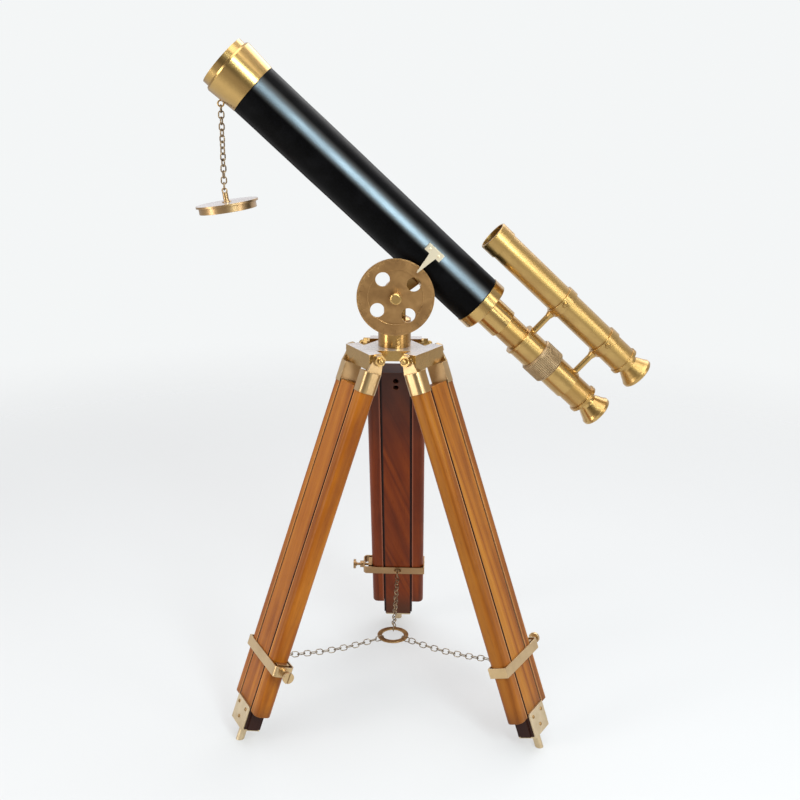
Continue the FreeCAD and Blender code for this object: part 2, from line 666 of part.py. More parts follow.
def make_legs():
    for name, bearing in LEGS.items():
        frame = leg_frame(bearing)
        length = "rail_end - ferrule_top - ferrule_cap"
        node(
            f"rails_{name}", group(rail_bar(-1, length, "-rail_end"), rail_bar(1, length, "-rail_end")), frame,
        )
        node(f"ferrules_{name}", group(make_ferrule(-1), make_ferrule(1)), frame)
        node(f"clamp_strap_{name}", make_strap(), frame)
        node(f"clamp_block_{name}", make_block(), frame)
        node(f"thumb_screw_{name}", make_thumb_screw(), frame)
        node(f"board_{name}", make_board(), frame)
        node(f"foot_plate_{name}", make_foot_plate(), frame)
        node(f"foot_screws_{name}", make_foot_screws(), frame)


# ---------------------------------------------------------------- chains
def make_link(inside, gap, wire):
    """One open oval link lying in the xz plane, long way up z, centred on the origin."""
    straight = f"{inside} - {gap}"
    bend = f"{gap} / 2 + {wire}"
    pieces = []
    for side in (-1, 1):
        pieces.append(cylinder(wire, straight, f"{side} * ({bend})", 0, f"-({straight}) / 2"))
        arc = doc.addObject("Part::Torus", "Bend")
        bind(arc, Radius1=bend, Radius2=wire)
        arc.Angle3 = 180
        put(arc, 0, 0, f"{side} * ({straight}) / 2", FreeCAD.Rotation(V(1, 0, 0), 90 * side))
        pieces.append(arc)
    return fuse(*pieces)


def copies(template, places):
    """A node of identical solids: the template's shape stood in each place."""
    obj = doc.addObject("Part::Feature", "Copies")
    doc.recompute()
    made = []
    for place in places:
        solid = template.Shape.copy()
        solid.Placement = place.multiply(template.Shape.Placement)
        made.append(solid)
    obj.Shape = Part.makeCompound(made)
    return obj


def along(direction, roll):
    """The turn that points z along a direction, then rolls about it."""
    return FreeCAD.Rotation(V(0, 0, 1), direction).multiply(FreeCAD.Rotation(V(0, 0, 1), roll))


def make_spreader():
    disc = cylinder("ring_radius", "ring_thickness", 0, 0, "ring_height - ring_thickness / 2")
    hole = cylinder("ring_hole", "ring_thickness + 2", 0, 0, "ring_height - ring_thickness / 2 - 1")
    node("spreader_ring", cut(disc, hole), FLOOR)

    link = make_link("link_inside", "link_gap", "link_wire")
    hanger = make_link("hanger_inside", "link_gap", "link_wire")
    splay = math.radians(size("leg_splay"))
    inward = size("leg_thickness") / 2 + size("running_gap") + size("strap_wall") + size("loop_radius")
    loop_r = size("hinge_radius") - inward * math.cos(splay) + size("strap_centre") * math.sin(splay)
    loop_z = size("hinge_height") - inward * math.sin(splay) - size("strap_centre") * math.cos(splay)
    half = size("hanger_inside") / 2
    hang_at = size("ring_hole") + half - 0.05
    reach = size("link_inside") - 2 * 0.05
    start = V(loop_r + size("loop_wire") + 0.05, 0, loop_z)
    end = V(hang_at + half - 0.05, 0, size("ring_height"))
    for name, bearing in LEGS.items():
        facing = FreeCAD.Rotation(V(0, 0, 1), bearing)
        places = []
        for number, (middle, direction) in enumerate(sagging(start, end, size("chain_sag"), reach)):
            roll = 45 if number % 2 else -45
            if number == 0:
                roll = 0
            places.append(FreeCAD.Placement(facing.multVec(middle), facing.multiply(along(direction, roll))))
        chain = copies(link, places)
        hang = FreeCAD.Placement(facing.multVec(V(hang_at, 0, size("ring_height"))),
                                 facing.multiply(along(V(1, 0, 0), 0)))
        last = copies(hanger, [hang])
        node(f"spreader_chain_{name}", group(chain, last), FLOOR)


def sagging(start, end, sag, reach):
    """Middle and direction of each link along a shallow parabola from start to end."""
    span = end - start

    def at(share):
        return start + span * share - V(0, 0, 4 * sag * share * (1 - share))

    steps = 400
    run = [0.0]
    for step in range(steps):
        run.append(run[-1] + (at((step + 1) / steps) - at(step / steps)).Length)
    count = math.ceil(run[-1] / reach)

    def share_of(distance):
        step = max(index for index, value in enumerate(run) if value <= distance + 1e-9)
        step = min(step, steps - 1)
        return (step + (distance - run[step]) / (run[step + 1] - run[step])) / steps

    joints = [at(share_of(run[-1] * number / count)) for number in range(count + 1)]
    return [((a + b) / 2, (b - a).normalize()) for a, b in zip(joints[:-1], joints[1:])]


# ---------------------------------------------------------------- main tube
def make_tube():
    shanks = [saddle_shank(side) for side in (-1, 1)] + [rivet_shank(side) for side in (-1, 1)]
    barrel = turned([("barrel_front - barrel_rear", "barrel_outer", "barrel_outer")], "barrel_rear",
                    "tube_rise", "barrel_inner")
    node("barrel", cut(barrel, *shanks), TUBE)
    shanks = [saddle_shank(side) for side in (-1, 1)] + [rivet_shank(side) for side in (-1, 1)]
    sleeve = turned([("sleeve_front - sleeve_rear", "sleeve_radius", "sleeve_radius")], "sleeve_rear",
                    "tube_rise", "barrel_outer")
    node("leather_sleeve", cut(sleeve, *shanks), TUBE)

    shell = turned(
        [
            ("cell_flare_front - sleeve_front", "cell_back_radius", "cell_front_radius"),
            ("cell_shoulder - cell_flare_front", "cell_front_radius", "cell_front_radius - 0.8"),
            ("cell_front - cell_shoulder", "lip_radius", "lip_radius"),
        ],
        "sleeve_front", "tube_rise", "cell_aperture",
    )
    socket = cylinder(
        "barrel_outer", "barrel_front - sleeve_front + 1", "sleeve_front - 1", 0, "tube_rise", "x",
    )
    seat = cylinder("lens_radius + lens_gap", "cell_front - cell_stop + 1", "cell_stop", 0, "tube_rise", "x")
    eye = ring("hook_radius", "hook_wire", "hook_station", 0, "hook_height", "y")
    node("objective_cell", fuse(cut(shell, socket, seat), eye), TUBE)
    lens = make_lens("lens_radius", "lens_edge", "lens_curve", "cell_stop + 2 * lens_gap", "tube_rise")
    node("objective_lens", lens, TUBE)

    rear = turned(
        [
            ("rear_ring_rear - guide_rear", "guide_radius", "guide_radius"),
            (0.8, "rear_ring_radius - 0.8", "rear_ring_radius"),
            ("sleeve_rear - rear_ring_rear - 0.8", "rear_ring_radius", "rear_ring_radius"),
        ],
        "guide_rear", "tube_rise", "draw_outer + running_gap",
    )
    socket = cylinder("barrel_outer", "sleeve_rear - barrel_rear + 1", "barrel_rear", 0, "tube_rise", "x")
    node("rear_ring", cut(rear, socket), TUBE)


def make_lens(radius, edge, curve, start, rise):
    """A double convex lens whose edge begins at start, on the axis at height rise."""
    drum = cylinder(radius, f"{edge} + 12", f"{start} - 6", 0, rise, "x")
    sagitta = f"sqrt({curve} * {curve} - {radius} * {radius})"
    back = sphere(curve, f"{start} + {sagitta}", 0, rise)
    front = sphere(curve, f"{start} + {edge} - {sagitta}", 0, rise)
    return common(common(drum, back), front)


def saddle_shank(side):
    return cylinder("saddle_screw_shank", 9, f"{side} * saddle_screw_station", 0,
                    "tube_rise - sleeve_radius - saddle_wall - 0.6")


def rivet_shank(side):
    return cylinder("rivet_shank", 4.2, f"pointer_station + {side} * rivet_spacing / 2", "pointer_front - 4.2",
                    "pointer_rise", "y")


def make_saddle():
    under = "tube_rise - sleeve_radius - saddle_wall"
    wrap = cylinder("sleeve_radius + saddle_wall", "2 * saddle_half", "-saddle_half", 0, "tube_rise", "x")
    keep = box("2 * saddle_half", "saddle_width", 14, "-saddle_half", "-saddle_width / 2", f"{under} - 1")
    blade = wedge("blade_foot", "blade_top", "blade_depth", "tube_rise - sleeve_radius + 1")
    eye = cylinder("blade_eye", "blade_depth", 0, "-blade_depth / 2", 0, "y")
    tube = cylinder("sleeve_radius", "2 * saddle_half + 10", "-saddle_half - 5", 0, "tube_rise", "x")
    bolt = cylinder("pivot_radius + running_gap", "blade_depth + 2", 0, "-blade_depth / 2 - 1", 0, "y")
    shanks = [saddle_shank(side) for side in (-1, 1)]
    node("saddle", cut(fuse(common(wrap, keep), blade, eye), tube, bolt, *shanks), TUBE)

    screws = []
    for side in (-1, 1):
        x = f"{side} * saddle_screw_station"
        cap = cone("saddle_screw_head - 0.9", "saddle_screw_head", 1.4, x, 0, f"{under} - 1.3")
        slot = slab(6, 0.6, 0.9, x, 0, f"{under} - 1.5")
        wrap_over = cylinder(
            "sleeve_radius + saddle_wall", "2 * saddle_half", "-saddle_half", 0, "tube_rise", "x",
        )
        screws.append(fuse(cut(cap, slot, wrap_over), saddle_shank(side)))
    node("saddle_screws", group(*screws), TUBE)


def make_pointer():
    """T-shaped altitude pointer riveted to the side of the tube, its stem reaching over the disc's rim."""
    bar = box("pointer_length", 6, "pointer_width", "pointer_station - pointer_length / 2", "pointer_front - 6",
              "pointer_rise - pointer_width / 2")
    stem = wedge(1, "pointer_root", "pointer_front - pointer_back", "pointer_rise - pointer_tip_rise",
                 "pointer_station - 0.8", "(pointer_front + pointer_back) / 2", "pointer_tip_rise")
    tube = cylinder("sleeve_radius", 60, -30, 0, "tube_rise", "x")
    shanks = [rivet_shank(side) for side in (-1, 1)]
    node("pointer", cut(fuse(bar, stem), tube, *shanks), TUBE)
    rivets = []
    for side in (-1, 1):
        x = f"pointer_station + {side} * rivet_spacing / 2"
        head = cone("rivet_radius", "rivet_radius - 0.6", 0.7, x, "pointer_front", "pointer_rise", "y")
        rivets.append(fuse(head, rivet_shank(side)))
    node("pointer_rivets", group(*rivets), TUBE)


# ---------------------------------------------------------------- focusing draw, eyepiece and finder
def make_bracket(collar, mid):
    """A collar on the main axis joined by a round strut to a clamp ring on the finder."""
    foot = "tube_rise + draw_outer + 0.8"
    strut = cylinder("strut_radius", f"finder_rise - clamp_radius - ({foot}) + 1", mid, 0, foot)
    flare = cone("strut_radius", "strut_flare", 5, mid, 0, "finder_rise - clamp_radius - 4")
    clamp = cylinder("clamp_radius", "clamp_length", f"{mid} - clamp_length / 2", 0, "finder_rise", "x")
    pad = cylinder("clamp_screw_radius + 0.9", "clamp_radius - 4", mid, 4, "finder_rise", "y")
    bore = cylinder(
        "finder_radius", "clamp_length + 20", f"{mid} - clamp_length / 2 - 10", 0, "finder_rise", "x",
    )
    hole = cylinder("clamp_screw_shank", 8, mid, "finder_radius - 1", "finder_rise", "y")
    return cut(fuse(collar, strut, flare, clamp, pad), bore, hole)


def make_draw():
    tube = turned(
        [("draw_front - draw_rear", "draw_outer", "draw_outer")], "draw_rear", "tube_rise", "draw_inner",
    )
    node("draw_tube", tube, TUBE)

    collar = turned(
        [
            ("collar_front - collar_flange - knurl_front", "collar_radius", "collar_radius"),
            ("collar_flange", "collar_flange_radius", "collar_flange_radius"),
        ],
        "knurl_front", "tube_rise",
    )
    bore = cylinder("draw_outer", "collar_front - knurl_front + 2", "knurl_front - 1", 0, "tube_rise", "x")
    node("bracket_front", cut(make_bracket(collar, "clamp_front_mid"), bore), TUBE)

    collar = turned([("draw_rear - sleeve_two_rear", "sleeve_two_radius", "sleeve_two_radius")],
                    "sleeve_two_rear", "tube_rise")
    bore = cylinder(
        "eye_tube_bore", "draw_rear - sleeve_two_rear + 2", "sleeve_two_rear - 1", 0, "tube_rise", "x",
    )
    node("bracket_rear", cut(make_bracket(collar, "clamp_rear_mid"), bore), TUBE)

    screws = []
    for mid in ("clamp_front_mid", "clamp_rear_mid"):
        head = cylinder("clamp_screw_radius", "clamp_screw_height", mid, "clamp_radius", "finder_rise", "y")
        shank = cylinder("clamp_screw_shank", "clamp_radius - finder_radius + 0.5", mid, "finder_radius",
                         "finder_rise", "y")
        slot = slab(6, 1.2, 0.6, mid, "clamp_radius + clamp_screw_height", "finder_rise - 0.3")
        screws.append(cut(fuse(head, shank), slot))
    node("clamp_screws", group(*screws), TUBE)
    make_knurled_ring()

    eye = turned(
        [
            ("eye_flange", "eye_flange_radius", "eye_flange_radius"),
            ("sleeve_two_rear - eye_tube_rear - eye_flange", "eye_tube_radius", "eye_tube_radius"),
        ],
        "eye_tube_rear", "tube_rise", "eye_tube_bore",
    )
    node("eye_tube", eye, TUBE)


def make_knurled_ring():
    """Straight-knurled ring turning on the draw tube."""
    blank = turned(
        [
            ("knurl_bevel", "knurl_radius - knurl_bevel", "knurl_radius"),
            ("knurl_front - knurl_rear - 2 * knurl_bevel", "knurl_radius", "knurl_radius"),
            ("knurl_bevel", "knurl_radius", "knurl_radius - knurl_bevel"),
        ],
        "knurl_rear", "tube_rise", "draw_outer + running_gap",
    )
    doc.recompute()
    grooves = []
    count = 60
    for number in range(count):
        angle = 2 * math.pi * number / count
        reach = size("knurl_radius") + 0.15
        base = V(size("knurl_rear") - 1, reach * math.cos(angle), size("tube_rise") + reach * math.sin(angle))
        grooves.append(
            Part.makeCylinder(0.55, size("knurl_front") - size("knurl_rear") + 2, base, V(1, 0, 0)),
        )
    obj = doc.addObject("Part::Feature", "Knurled")
    obj.Shape = blank.Shape.cut(Part.makeCompound(grooves))
    node("knurled_ring", obj, TUBE)


def make_cup(rear, rim_front, neck_rear, flange_rear, radius, rise):
    """A flared eyepiece with a dished rear face and a plain barrel that screws into its tube."""
    cup = turned(
        [
            (1, f"{radius} - 1", radius),
            (f"{rim_front} - ({rear}) - 1", radius, radius),
            (2.5, radius, f"{radius} - 1.6"),
            (f"{neck_rear} - ({rim_front}) - 2.5", f"{radius} - 1.6", "cup_neck_radius"),
            (f"{flange_rear} - ({neck_rear}) + cup_insert", "cup_neck_radius", "cup_neck_radius"),
        ],
        rear, rise, "cup_bore - 2",
    )
    dish = cone("cup_dish_radius", "cup_bore - 1", "cup_dish_depth", rear, 0, rise, "x")
    seat = cylinder("cup_bore", 40, f"{rear} + cup_dish_depth + 2", 0, rise, "x")
    return cut(cup, dish, seat)


def make_eyepieces():
    node("eyepiece", make_cup("cup_rear", "cup_rim_front", "cup_neck_rear", "eye_tube_rear", "cup_radius",
                              "tube_rise"), TUBE)
    node("eye_lens", make_lens("cup_bore", "eye_lens_edge", "eye_lens_curve",
                               "cup_rear + cup_dish_depth + 4", "tube_rise"), TUBE)
    node("finder_eyepiece", make_cup("finder_rear", "finder_rim_front", "finder_neck_rear", "finder_tube_rear",
                                     "finder_cup_radius", "finder_rise"), TUBE)
    node("finder_eye_lens", make_lens("cup_bore", "eye_lens_edge", "eye_lens_curve",
                                      "finder_rear + cup_dish_depth + 4", "finder_rise"), TUBE)


def make_finder():
    tube = turned(
        [
            ("finder_flange", "finder_flange_radius", "finder_flange_radius"),
            ("finder_cap_rear - finder_tube_rear - finder_flange", "finder_radius", "finder_radius"),
        ],
        "finder_tube_rear", "finder_rise", "cup_neck_radius + running_gap",
    )
    hollow = cylinder("finder_bore", "finder_cap_rear - finder_tube_rear - cup_insert - 4",
                      "finder_tube_rear + cup_insert + 5", 0, "finder_rise", "x")
    shanks = [
        cylinder("clamp_screw_shank", 2, mid, "finder_radius - 0.4", "finder_rise", "y")
        for mid in ("clamp_front_mid", "clamp_rear_mid")
    ]
    node("finder_tube", cut(tube, hollow, *shanks), TUBE)

    cap = turned(
        [
            ("finder_cap_front - finder_cap_rear - 0.8", "finder_cap_radius", "finder_cap_radius"),
            (0.8, "finder_cap_radius", "finder_cap_radius - 0.8"),
        ],
        "finder_cap_rear", "finder_rise", "finder_stop",
    )
    seat = cylinder("finder_bore", 20, "finder_cap_rear + 2", 0, "finder_rise", "x")
    node("finder_cell", cut(cap, seat), TUBE)
    node(
        "finder_lens", make_lens("finder_bore - lens_gap", 2, 60, "finder_cap_rear + 2", "finder_rise"), TUBE,
    )


# ---------------------------------------------------------------- cap and its chain
def make_cap():
    """The cap hangs plumb on its chain from the eye under the front ring."""
    eye = TUBE.multVec(V(size("hook_station"), 0, size("hook_height")))
    plumb = FreeCAD.Placement(eye, AZIMUTH)
    link = make_link("curb_inside", "curb_gap", "curb_wire")
    reach = size("curb_inside") - 0.1
    first = size("hook_wire") - size("hook_radius") - size("curb_inside") / 2 + 0.05
    places = []
    for number in range(int(size("curb_count"))):
        turn = FreeCAD.Rotation(V(0, 0, 1), 90 + size("curb_turn") * number)
        places.append(FreeCAD.Placement(V(0, 0, first - number * reach), turn))
    node("cap_chain", copies(link, places), plumb)

    last = places[-1].Base.z
    joint = last - size("curb_inside") / 2 + 0.15
    hang = FreeCAD.Placement(
        eye + V(0, 0, joint),
        AZIMUTH.multiply(FreeCAD.Rotation(V(0, 1, 0), size("cap_tilt"))),
    )
    loop = ring("curb_gap / 2 + 0.4", "curb_wire", 0, 0, "-curb_gap / 2 - 0.4 + curb_wire", "y")
    face = "-curb_gap - 0.8 + curb_wire - post_height + 0.4"
    post = cylinder("post_radius", "post_height", 0, 0, face)
    washer = cylinder("post_radius + 1.6", 1, 0, 0, face)
    disc = cylinder("cap_radius", "cap_thickness", 0, 0, f"{face} - cap_thickness")
    skirt = cylinder("cap_skirt_outer", "cap_skirt", 0, 0, f"{face} - cap_thickness - cap_skirt")
    hollow = cylinder("cap_skirt_inner", "cap_skirt + 1", 0, 0, f"{face} - cap_thickness - cap_skirt - 1")
    node("lens_cap", cut(fuse(loop, post, washer, disc, skirt), hollow), hang)


make_head()
make_pillar()
make_disc()
make_legs()
make_spreader()
make_tube()
make_saddle()
make_pointer()
make_draw()
make_eyepieces()
make_finder()
make_cap()
doc.recompute()

for label, obj, frame in nodes:
    obj.Label = label
    obj.Placement = frame
doc.recompute()

for obj in doc.Objects:
    if "Invalid" in obj.State or "Error" in obj.State:
        raise SystemExit(f"{obj.Label} did not compute: {obj.State}")

os.makedirs("parts", exist_ok=True)
for label, obj, frame in nodes:
    shape = obj.Shape
    if shape.isNull() or not shape.isValid() or not shape.Solids:
        raise SystemExit(f"{label} has no valid solid")
    shape.exportStep(f"parts/{label}.step")
    box_of = shape.BoundBox
    print(f"{label}: {len(shape.Solids)} solids, {shape.Volume:.0f} mm3, "
          f"x {box_of.XMin:.1f}..{box_of.XMax:.1f} y {box_of.YMin:.1f}..{box_of.YMax:.1f} "
          f"z {box_of.ZMin:.1f}..{box_of.ZMax:.1f}")
print(len(nodes), "nodes")
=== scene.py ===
"""Looks of a brass and leather telescope on a wooden tripod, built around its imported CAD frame.

Lengths are metres; a length given in millimetres is multiplied by MM. Every CAD node keeps its
shape and gets a procedural finish. The leather wrap is the one node that is rebuilt: its mesh
here has turned edges, a raised seam and stitches.
"""

import json
import math

import bpy
import numpy as np
from mathutils import Matrix, Vector


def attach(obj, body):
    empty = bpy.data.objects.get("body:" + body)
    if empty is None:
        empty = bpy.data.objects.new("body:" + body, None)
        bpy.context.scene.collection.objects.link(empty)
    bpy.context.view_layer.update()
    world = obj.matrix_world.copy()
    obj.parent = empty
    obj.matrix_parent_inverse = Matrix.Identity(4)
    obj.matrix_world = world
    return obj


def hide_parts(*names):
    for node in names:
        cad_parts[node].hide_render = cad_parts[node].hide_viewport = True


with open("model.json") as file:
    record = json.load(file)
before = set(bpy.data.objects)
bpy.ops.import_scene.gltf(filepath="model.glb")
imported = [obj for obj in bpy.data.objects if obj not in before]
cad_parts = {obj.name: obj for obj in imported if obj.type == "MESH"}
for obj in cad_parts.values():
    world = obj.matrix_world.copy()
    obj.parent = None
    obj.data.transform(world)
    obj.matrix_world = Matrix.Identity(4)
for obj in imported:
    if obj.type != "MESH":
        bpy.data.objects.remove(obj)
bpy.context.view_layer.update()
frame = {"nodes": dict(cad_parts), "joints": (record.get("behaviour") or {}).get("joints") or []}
NODES = frame["nodes"]
JOINTS = {joint["name"]: joint for joint in frame["joints"]}
SIDES = ("left", "right", "back")
MM = 0.001


# ---------------------------------------------------------------- frames taken from the joints

def frame_matrix(origin, x_axis, z_hint):
    """A frame with x along x_axis and z as near z_hint as a right angle allows."""
    x = Vector(x_axis).normalized()
    y = Vector(z_hint).cross(x).normalized()
    z = x.cross(y)
    turned = Matrix((x, y, z)).transposed().to_4x4()
    turned.translation = Vector(origin)
    return turned


def node_points(node):
    """A CAD node's vertices as an array."""
    vertices = NODES[node].data.vertices
    points = np.empty(len(vertices) * 3)
    vertices.foreach_get("co", points)
    return points.reshape(-1, 3)


def local_points(node, matrix):
    """A CAD node's vertices in a frame's own coordinates."""
    points = node_points(node)
    inverse = np.array(matrix.inverted())
    return points @ inverse[:3, :3].T + inverse[:3, 3]


def centred(node, matrix):
    """The same frame moved sideways so that its x axis runs through the middle of a round node."""
    points = local_points(node, matrix)
    middle = (points.min(0) + points.max(0)) / 2
    moved = matrix.copy()
    moved.translation = matrix @ Vector((0, middle[1], middle[2]))
    return moved


UP = Vector((0, 0, 1))
PIVOT = Vector(JOINTS["altitude_tilt"]["pos_m"])
TILT_AXIS = Vector(JOINTS["altitude_tilt"]["axis"])
EYE_WAY = Vector(JOINTS["focus_draw"]["axis"])
PILLAR_FOOT = Vector((PIVOT.x, PIVOT.y, 0))

# x runs towards the objective, y towards the camera's side, z away from the pivot
TUBE = centred("leather_sleeve", frame_matrix(PIVOT, -EYE_WAY, UP))
FINDER = centred("finder_tube", TUBE)
# x runs up the pillar
COLUMN = frame_matrix(PILLAR_FOOT, UP, TILT_AXIS)
# x points out of the disc's face, z up
DISC = frame_matrix(PIVOT, -TILT_AXIS, UP)
# x runs up the leg, z out of its outer face
LEGS = {
    side: frame_matrix(
        JOINTS["leg_fold_" + side]["pos_m"],
        -Vector(JOINTS["leg_extend_" + side]["axis"]),
        UP,
    )
    for side in SIDES
}


# ---------------------------------------------------------------- building node materials

class Look:
    """One node material, with short calls for the nodes it is made of."""

    def __init__(self, name):
        self.material = bpy.data.materials.new(name)
        self.material.use_nodes = True
        self.tree = self.material.node_tree
        self.tree.nodes.clear()
        self.place = self.add("TexCoord").outputs["Object"]

    def add(self, kind, inputs=None, **settings):
        """A shader node. An input value is either a number or colour, or another node's output."""
        node = self.tree.nodes.new("ShaderNode" + kind)
        for key, value in settings.items():
            setattr(node, key, value)
        for key, value in (inputs or {}).items():
            if isinstance(value, bpy.types.NodeSocket):
                self.tree.links.new(value, node.inputs[key])
            else:
                node.inputs[key].default_value = value
        return node

    def local(self, matrix, scale=(1, 1, 1)):
        """Object coordinates seen in a frame, then stretched."""
        inverse = matrix.inverted()
        placed = self.add("Mapping", {
            "Vector": self.place,
            "Rotation": inverse.to_euler(),
            "Location": inverse.translation,
        }).outputs[0]
        return self.stretch(placed, scale)

    def stretch(self, vector, scale):
        return self.add("VectorMath", {0: vector, 1: scale}, operation="MULTIPLY").outputs[0]

    def shift(self, vector, step):
        return self.add("VectorMath", {0: vector, 1: step}, operation="ADD").outputs[0]

    def split(self, vector):
        return self.add("SeparateXYZ", {0: vector}).outputs

    def calc(self, operation, a, b=0.0, clamp=False):
        return self.add("Math", {0: a, 1: b}, operation=operation, use_clamp=clamp).outputs[0]

    def noise(self, vector, scale, detail=3.0, roughness=0.55, distortion=0.0):
        return self.add("TexNoise", {
            "Vector": vector,
            "Scale": scale,
            "Detail": detail,
            "Roughness": roughness,
            "Distortion": distortion,
        }).outputs[0]

    def lines(self, distance, spacing, detail=2.0):
        """Noise that changes along one distance only, such as a lathe's tool marks."""
        stretched = self.calc("MULTIPLY", distance, 1 / spacing)
        return self.add(
            "TexNoise",
            {"W": stretched, "Scale": 1.0, "Detail": detail},
            noise_dimensions="1D",
        ).outputs[0]

    def remap(self, value, low, high, to_low, to_high):
        return self.add("MapRange", {
            "Value": value,
            "From Min": low,
            "From Max": high,
            "To Min": to_low,
            "To Max": to_high,
        }, interpolation_type="SMOOTHSTEP").outputs[0]

    def blend(self, share, a, b, mode="MIX"):
        """Colour a turning into colour b as share goes from 0 to 1."""
        return self.add(
            "Mix",
            {0: share, 6: colour(a), 7: colour(b)},
            data_type="RGBA",
            blend_type=mode,
        ).outputs[2]

    def ramp(self, value, *stops):
        node = self.add("ValToRGB", {0: value})
        node.color_ramp.elements.remove(node.color_ramp.elements[1])
        for number, (position, tint) in enumerate(stops):
            if number:
                stop = node.color_ramp.elements.new(position)
            else:
                stop = node.color_ramp.elements[0]
                stop.position = position
            stop.color = colour(tint)
        return node.outputs[0]

    def bump(self, height, distance, strength=1.0, normal=None):
        inputs = {"Height": height, "Distance": distance, "Strength": strength}
        if normal is not None:
            inputs["Normal"] = normal
        return self.add("Bump", inputs).outputs[0]

    def soft_edges(self, radius):
        """The surface normal with every edge rounded over."""
        return self.add("Bevel", {"Radius": radius}, samples=4).outputs[0]

    def edges(self, rounded):
        """1 on an edge and 0 on a plain face, from the rounded normal."""
        true_normal = self.add("NewGeometry").outputs["Normal"]
        facing = self.add(
            "VectorMath", {0: rounded, 1: true_normal}, operation="DOT_PRODUCT").outputs["Value"]
        return self.remap(facing, 0.995, 0.80, 0.0, 1.0)

    def crevices(self, distance):
        """1 in the open and near 0 in corners, from ambient occlusion; used to paint shade into
        corners.
        """
        return self.add("AmbientOcclusion", {"Distance": distance}, samples=4).outputs["AO"]

    def finish(self, **inputs):
        """Closes the material with a Principled surface. Underscores in names stand for spaces."""
        named = {key.replace("_", " "): value for key, value in inputs.items()}
        surface = self.add("BsdfPrincipled", named)
        output = self.add("OutputMaterial")
        self.tree.links.new(surface.outputs[0], output.inputs["Surface"])
        return self.material


def colour(value):
    """An RGBA value from a grey, an RGB triple or another node's output."""
    if isinstance(value, bpy.types.NodeSocket):
        return value
    if isinstance(value, (int, float)):
        return (value, value, value, 1)
    return (*value[:3], 1)


# ---------------------------------------------------------------- metals

EDGE_ROUND = 0.45 * MM
DULLED_EDGE_ROUND = 0.4 * MM
BRASS_LATHE_PITCH = 0.35 * MM
DULLED_LATHE_PITCH = 0.4 * MM


def brass(name, axis_frame=None, bright=(0.57, 0.365, 0.12), dull=(0.34, 0.19, 0.055),
          gloss=0.27, tarnish=0.35, top_reflection=0.0, seed=0.0):
    """Lacquered satin brass: tarnish patches, painted shade in the corners, edges polished bright
    by wear, a lathe's marks if turned.

    axis_frame has the lathe's axis as its x. top_reflection is how much pale painted
    reflection lies on the faces that look up."""
    look = Look(name)
    place = look.shift(look.place, (seed, seed, seed))
    rounded = look.soft_edges(EDGE_ROUND)
    edge = look.edges(rounded)
    clouds = look.noise(place, 34, 3, 0.5)
    stains = look.noise(place, 190, 4, 0.65, 0.6)
    corner_shade = look.crevices(3.5 * MM)
    stained = look.calc("ADD", clouds, look.calc("MULTIPLY", stains, 0.3))
    patchy = look.remap(stained, 0.45, 0.85, 0.0, tarnish)
    # Corners get painted shade from ambient occlusion, mixed with the random tarnish patches.
    painted_corner_shade = look.remap(corner_shade, 0.35, 0.9, 0.75, 0.0)
    tarnish_and_shade = look.calc("MAXIMUM", patchy, painted_corner_shade)
    # worn holds the tarnish patches and the painted corner shade, less the wear on the edges.
    worn = look.calc("SUBTRACT", tarnish_and_shade, look.calc("MULTIPLY", edge, 0.6), clamp=True)
    tint = look.blend(worn, bright, dull)
    polished = tuple(min(1.0, 1.12 * c) for c in bright)
    tint = look.blend(look.calc("MULTIPLY", edge, 0.35), tint, polished)
    # Faces that look up get a pale painted reflection of the room above, and are made less metallic
    # there.
    upward = look.split(look.add("NewGeometry").outputs["Normal"])[2]
    top_reflection_mask = look.remap(upward, 0.80, 0.97, 0.0, top_reflection)
    painted_top_reflection = look.calc("MULTIPLY", top_reflection_mask, look.remap(clouds, 0.3, 0.7, 0.75, 1.0))
    tint = look.blend(painted_top_reflection, tint, (0.64, 0.60, 0.58))
    metal = look.calc("SUBTRACT", 1.0, look.calc("MULTIPLY", painted_top_reflection, 0.7))
    scratches = look.noise(look.stretch(place, (1, 1, 6)), 900, 3, 0.7)
    scratched = look.remap(scratches, 0.3, 0.8, gloss, gloss + 0.09)
    rough = look.calc("ADD", look.calc("MULTIPLY", worn, 0.22), scratched)
    normal = rounded
    if axis_frame is not None:
        marks = look.lines(look.split(look.local(axis_frame))[0], BRASS_LATHE_PITCH)
        normal = look.bump(marks, 0.02 * MM, 0.12, normal)
    normal = look.bump(scratches, 0.015 * MM, 0.14, normal)
    normal = look.bump(clouds, 0.10 * MM, 0.06, normal)
    return look.finish(
        Base_Color=tint, Metallic=metal, Roughness=rough, Coat_Weight=0.45, Coat_Roughness=0.20,
        Normal=normal)


# from the darkest clouds to the lightest
BROWN_BRASS = ((0.24, 0.135, 0.052), (0.36, 0.21, 0.082), (0.50, 0.31, 0.125))
GREY_BRASS = ((0.27, 0.18, 0.095), (0.37, 0.26, 0.145), (0.48, 0.35, 0.21))


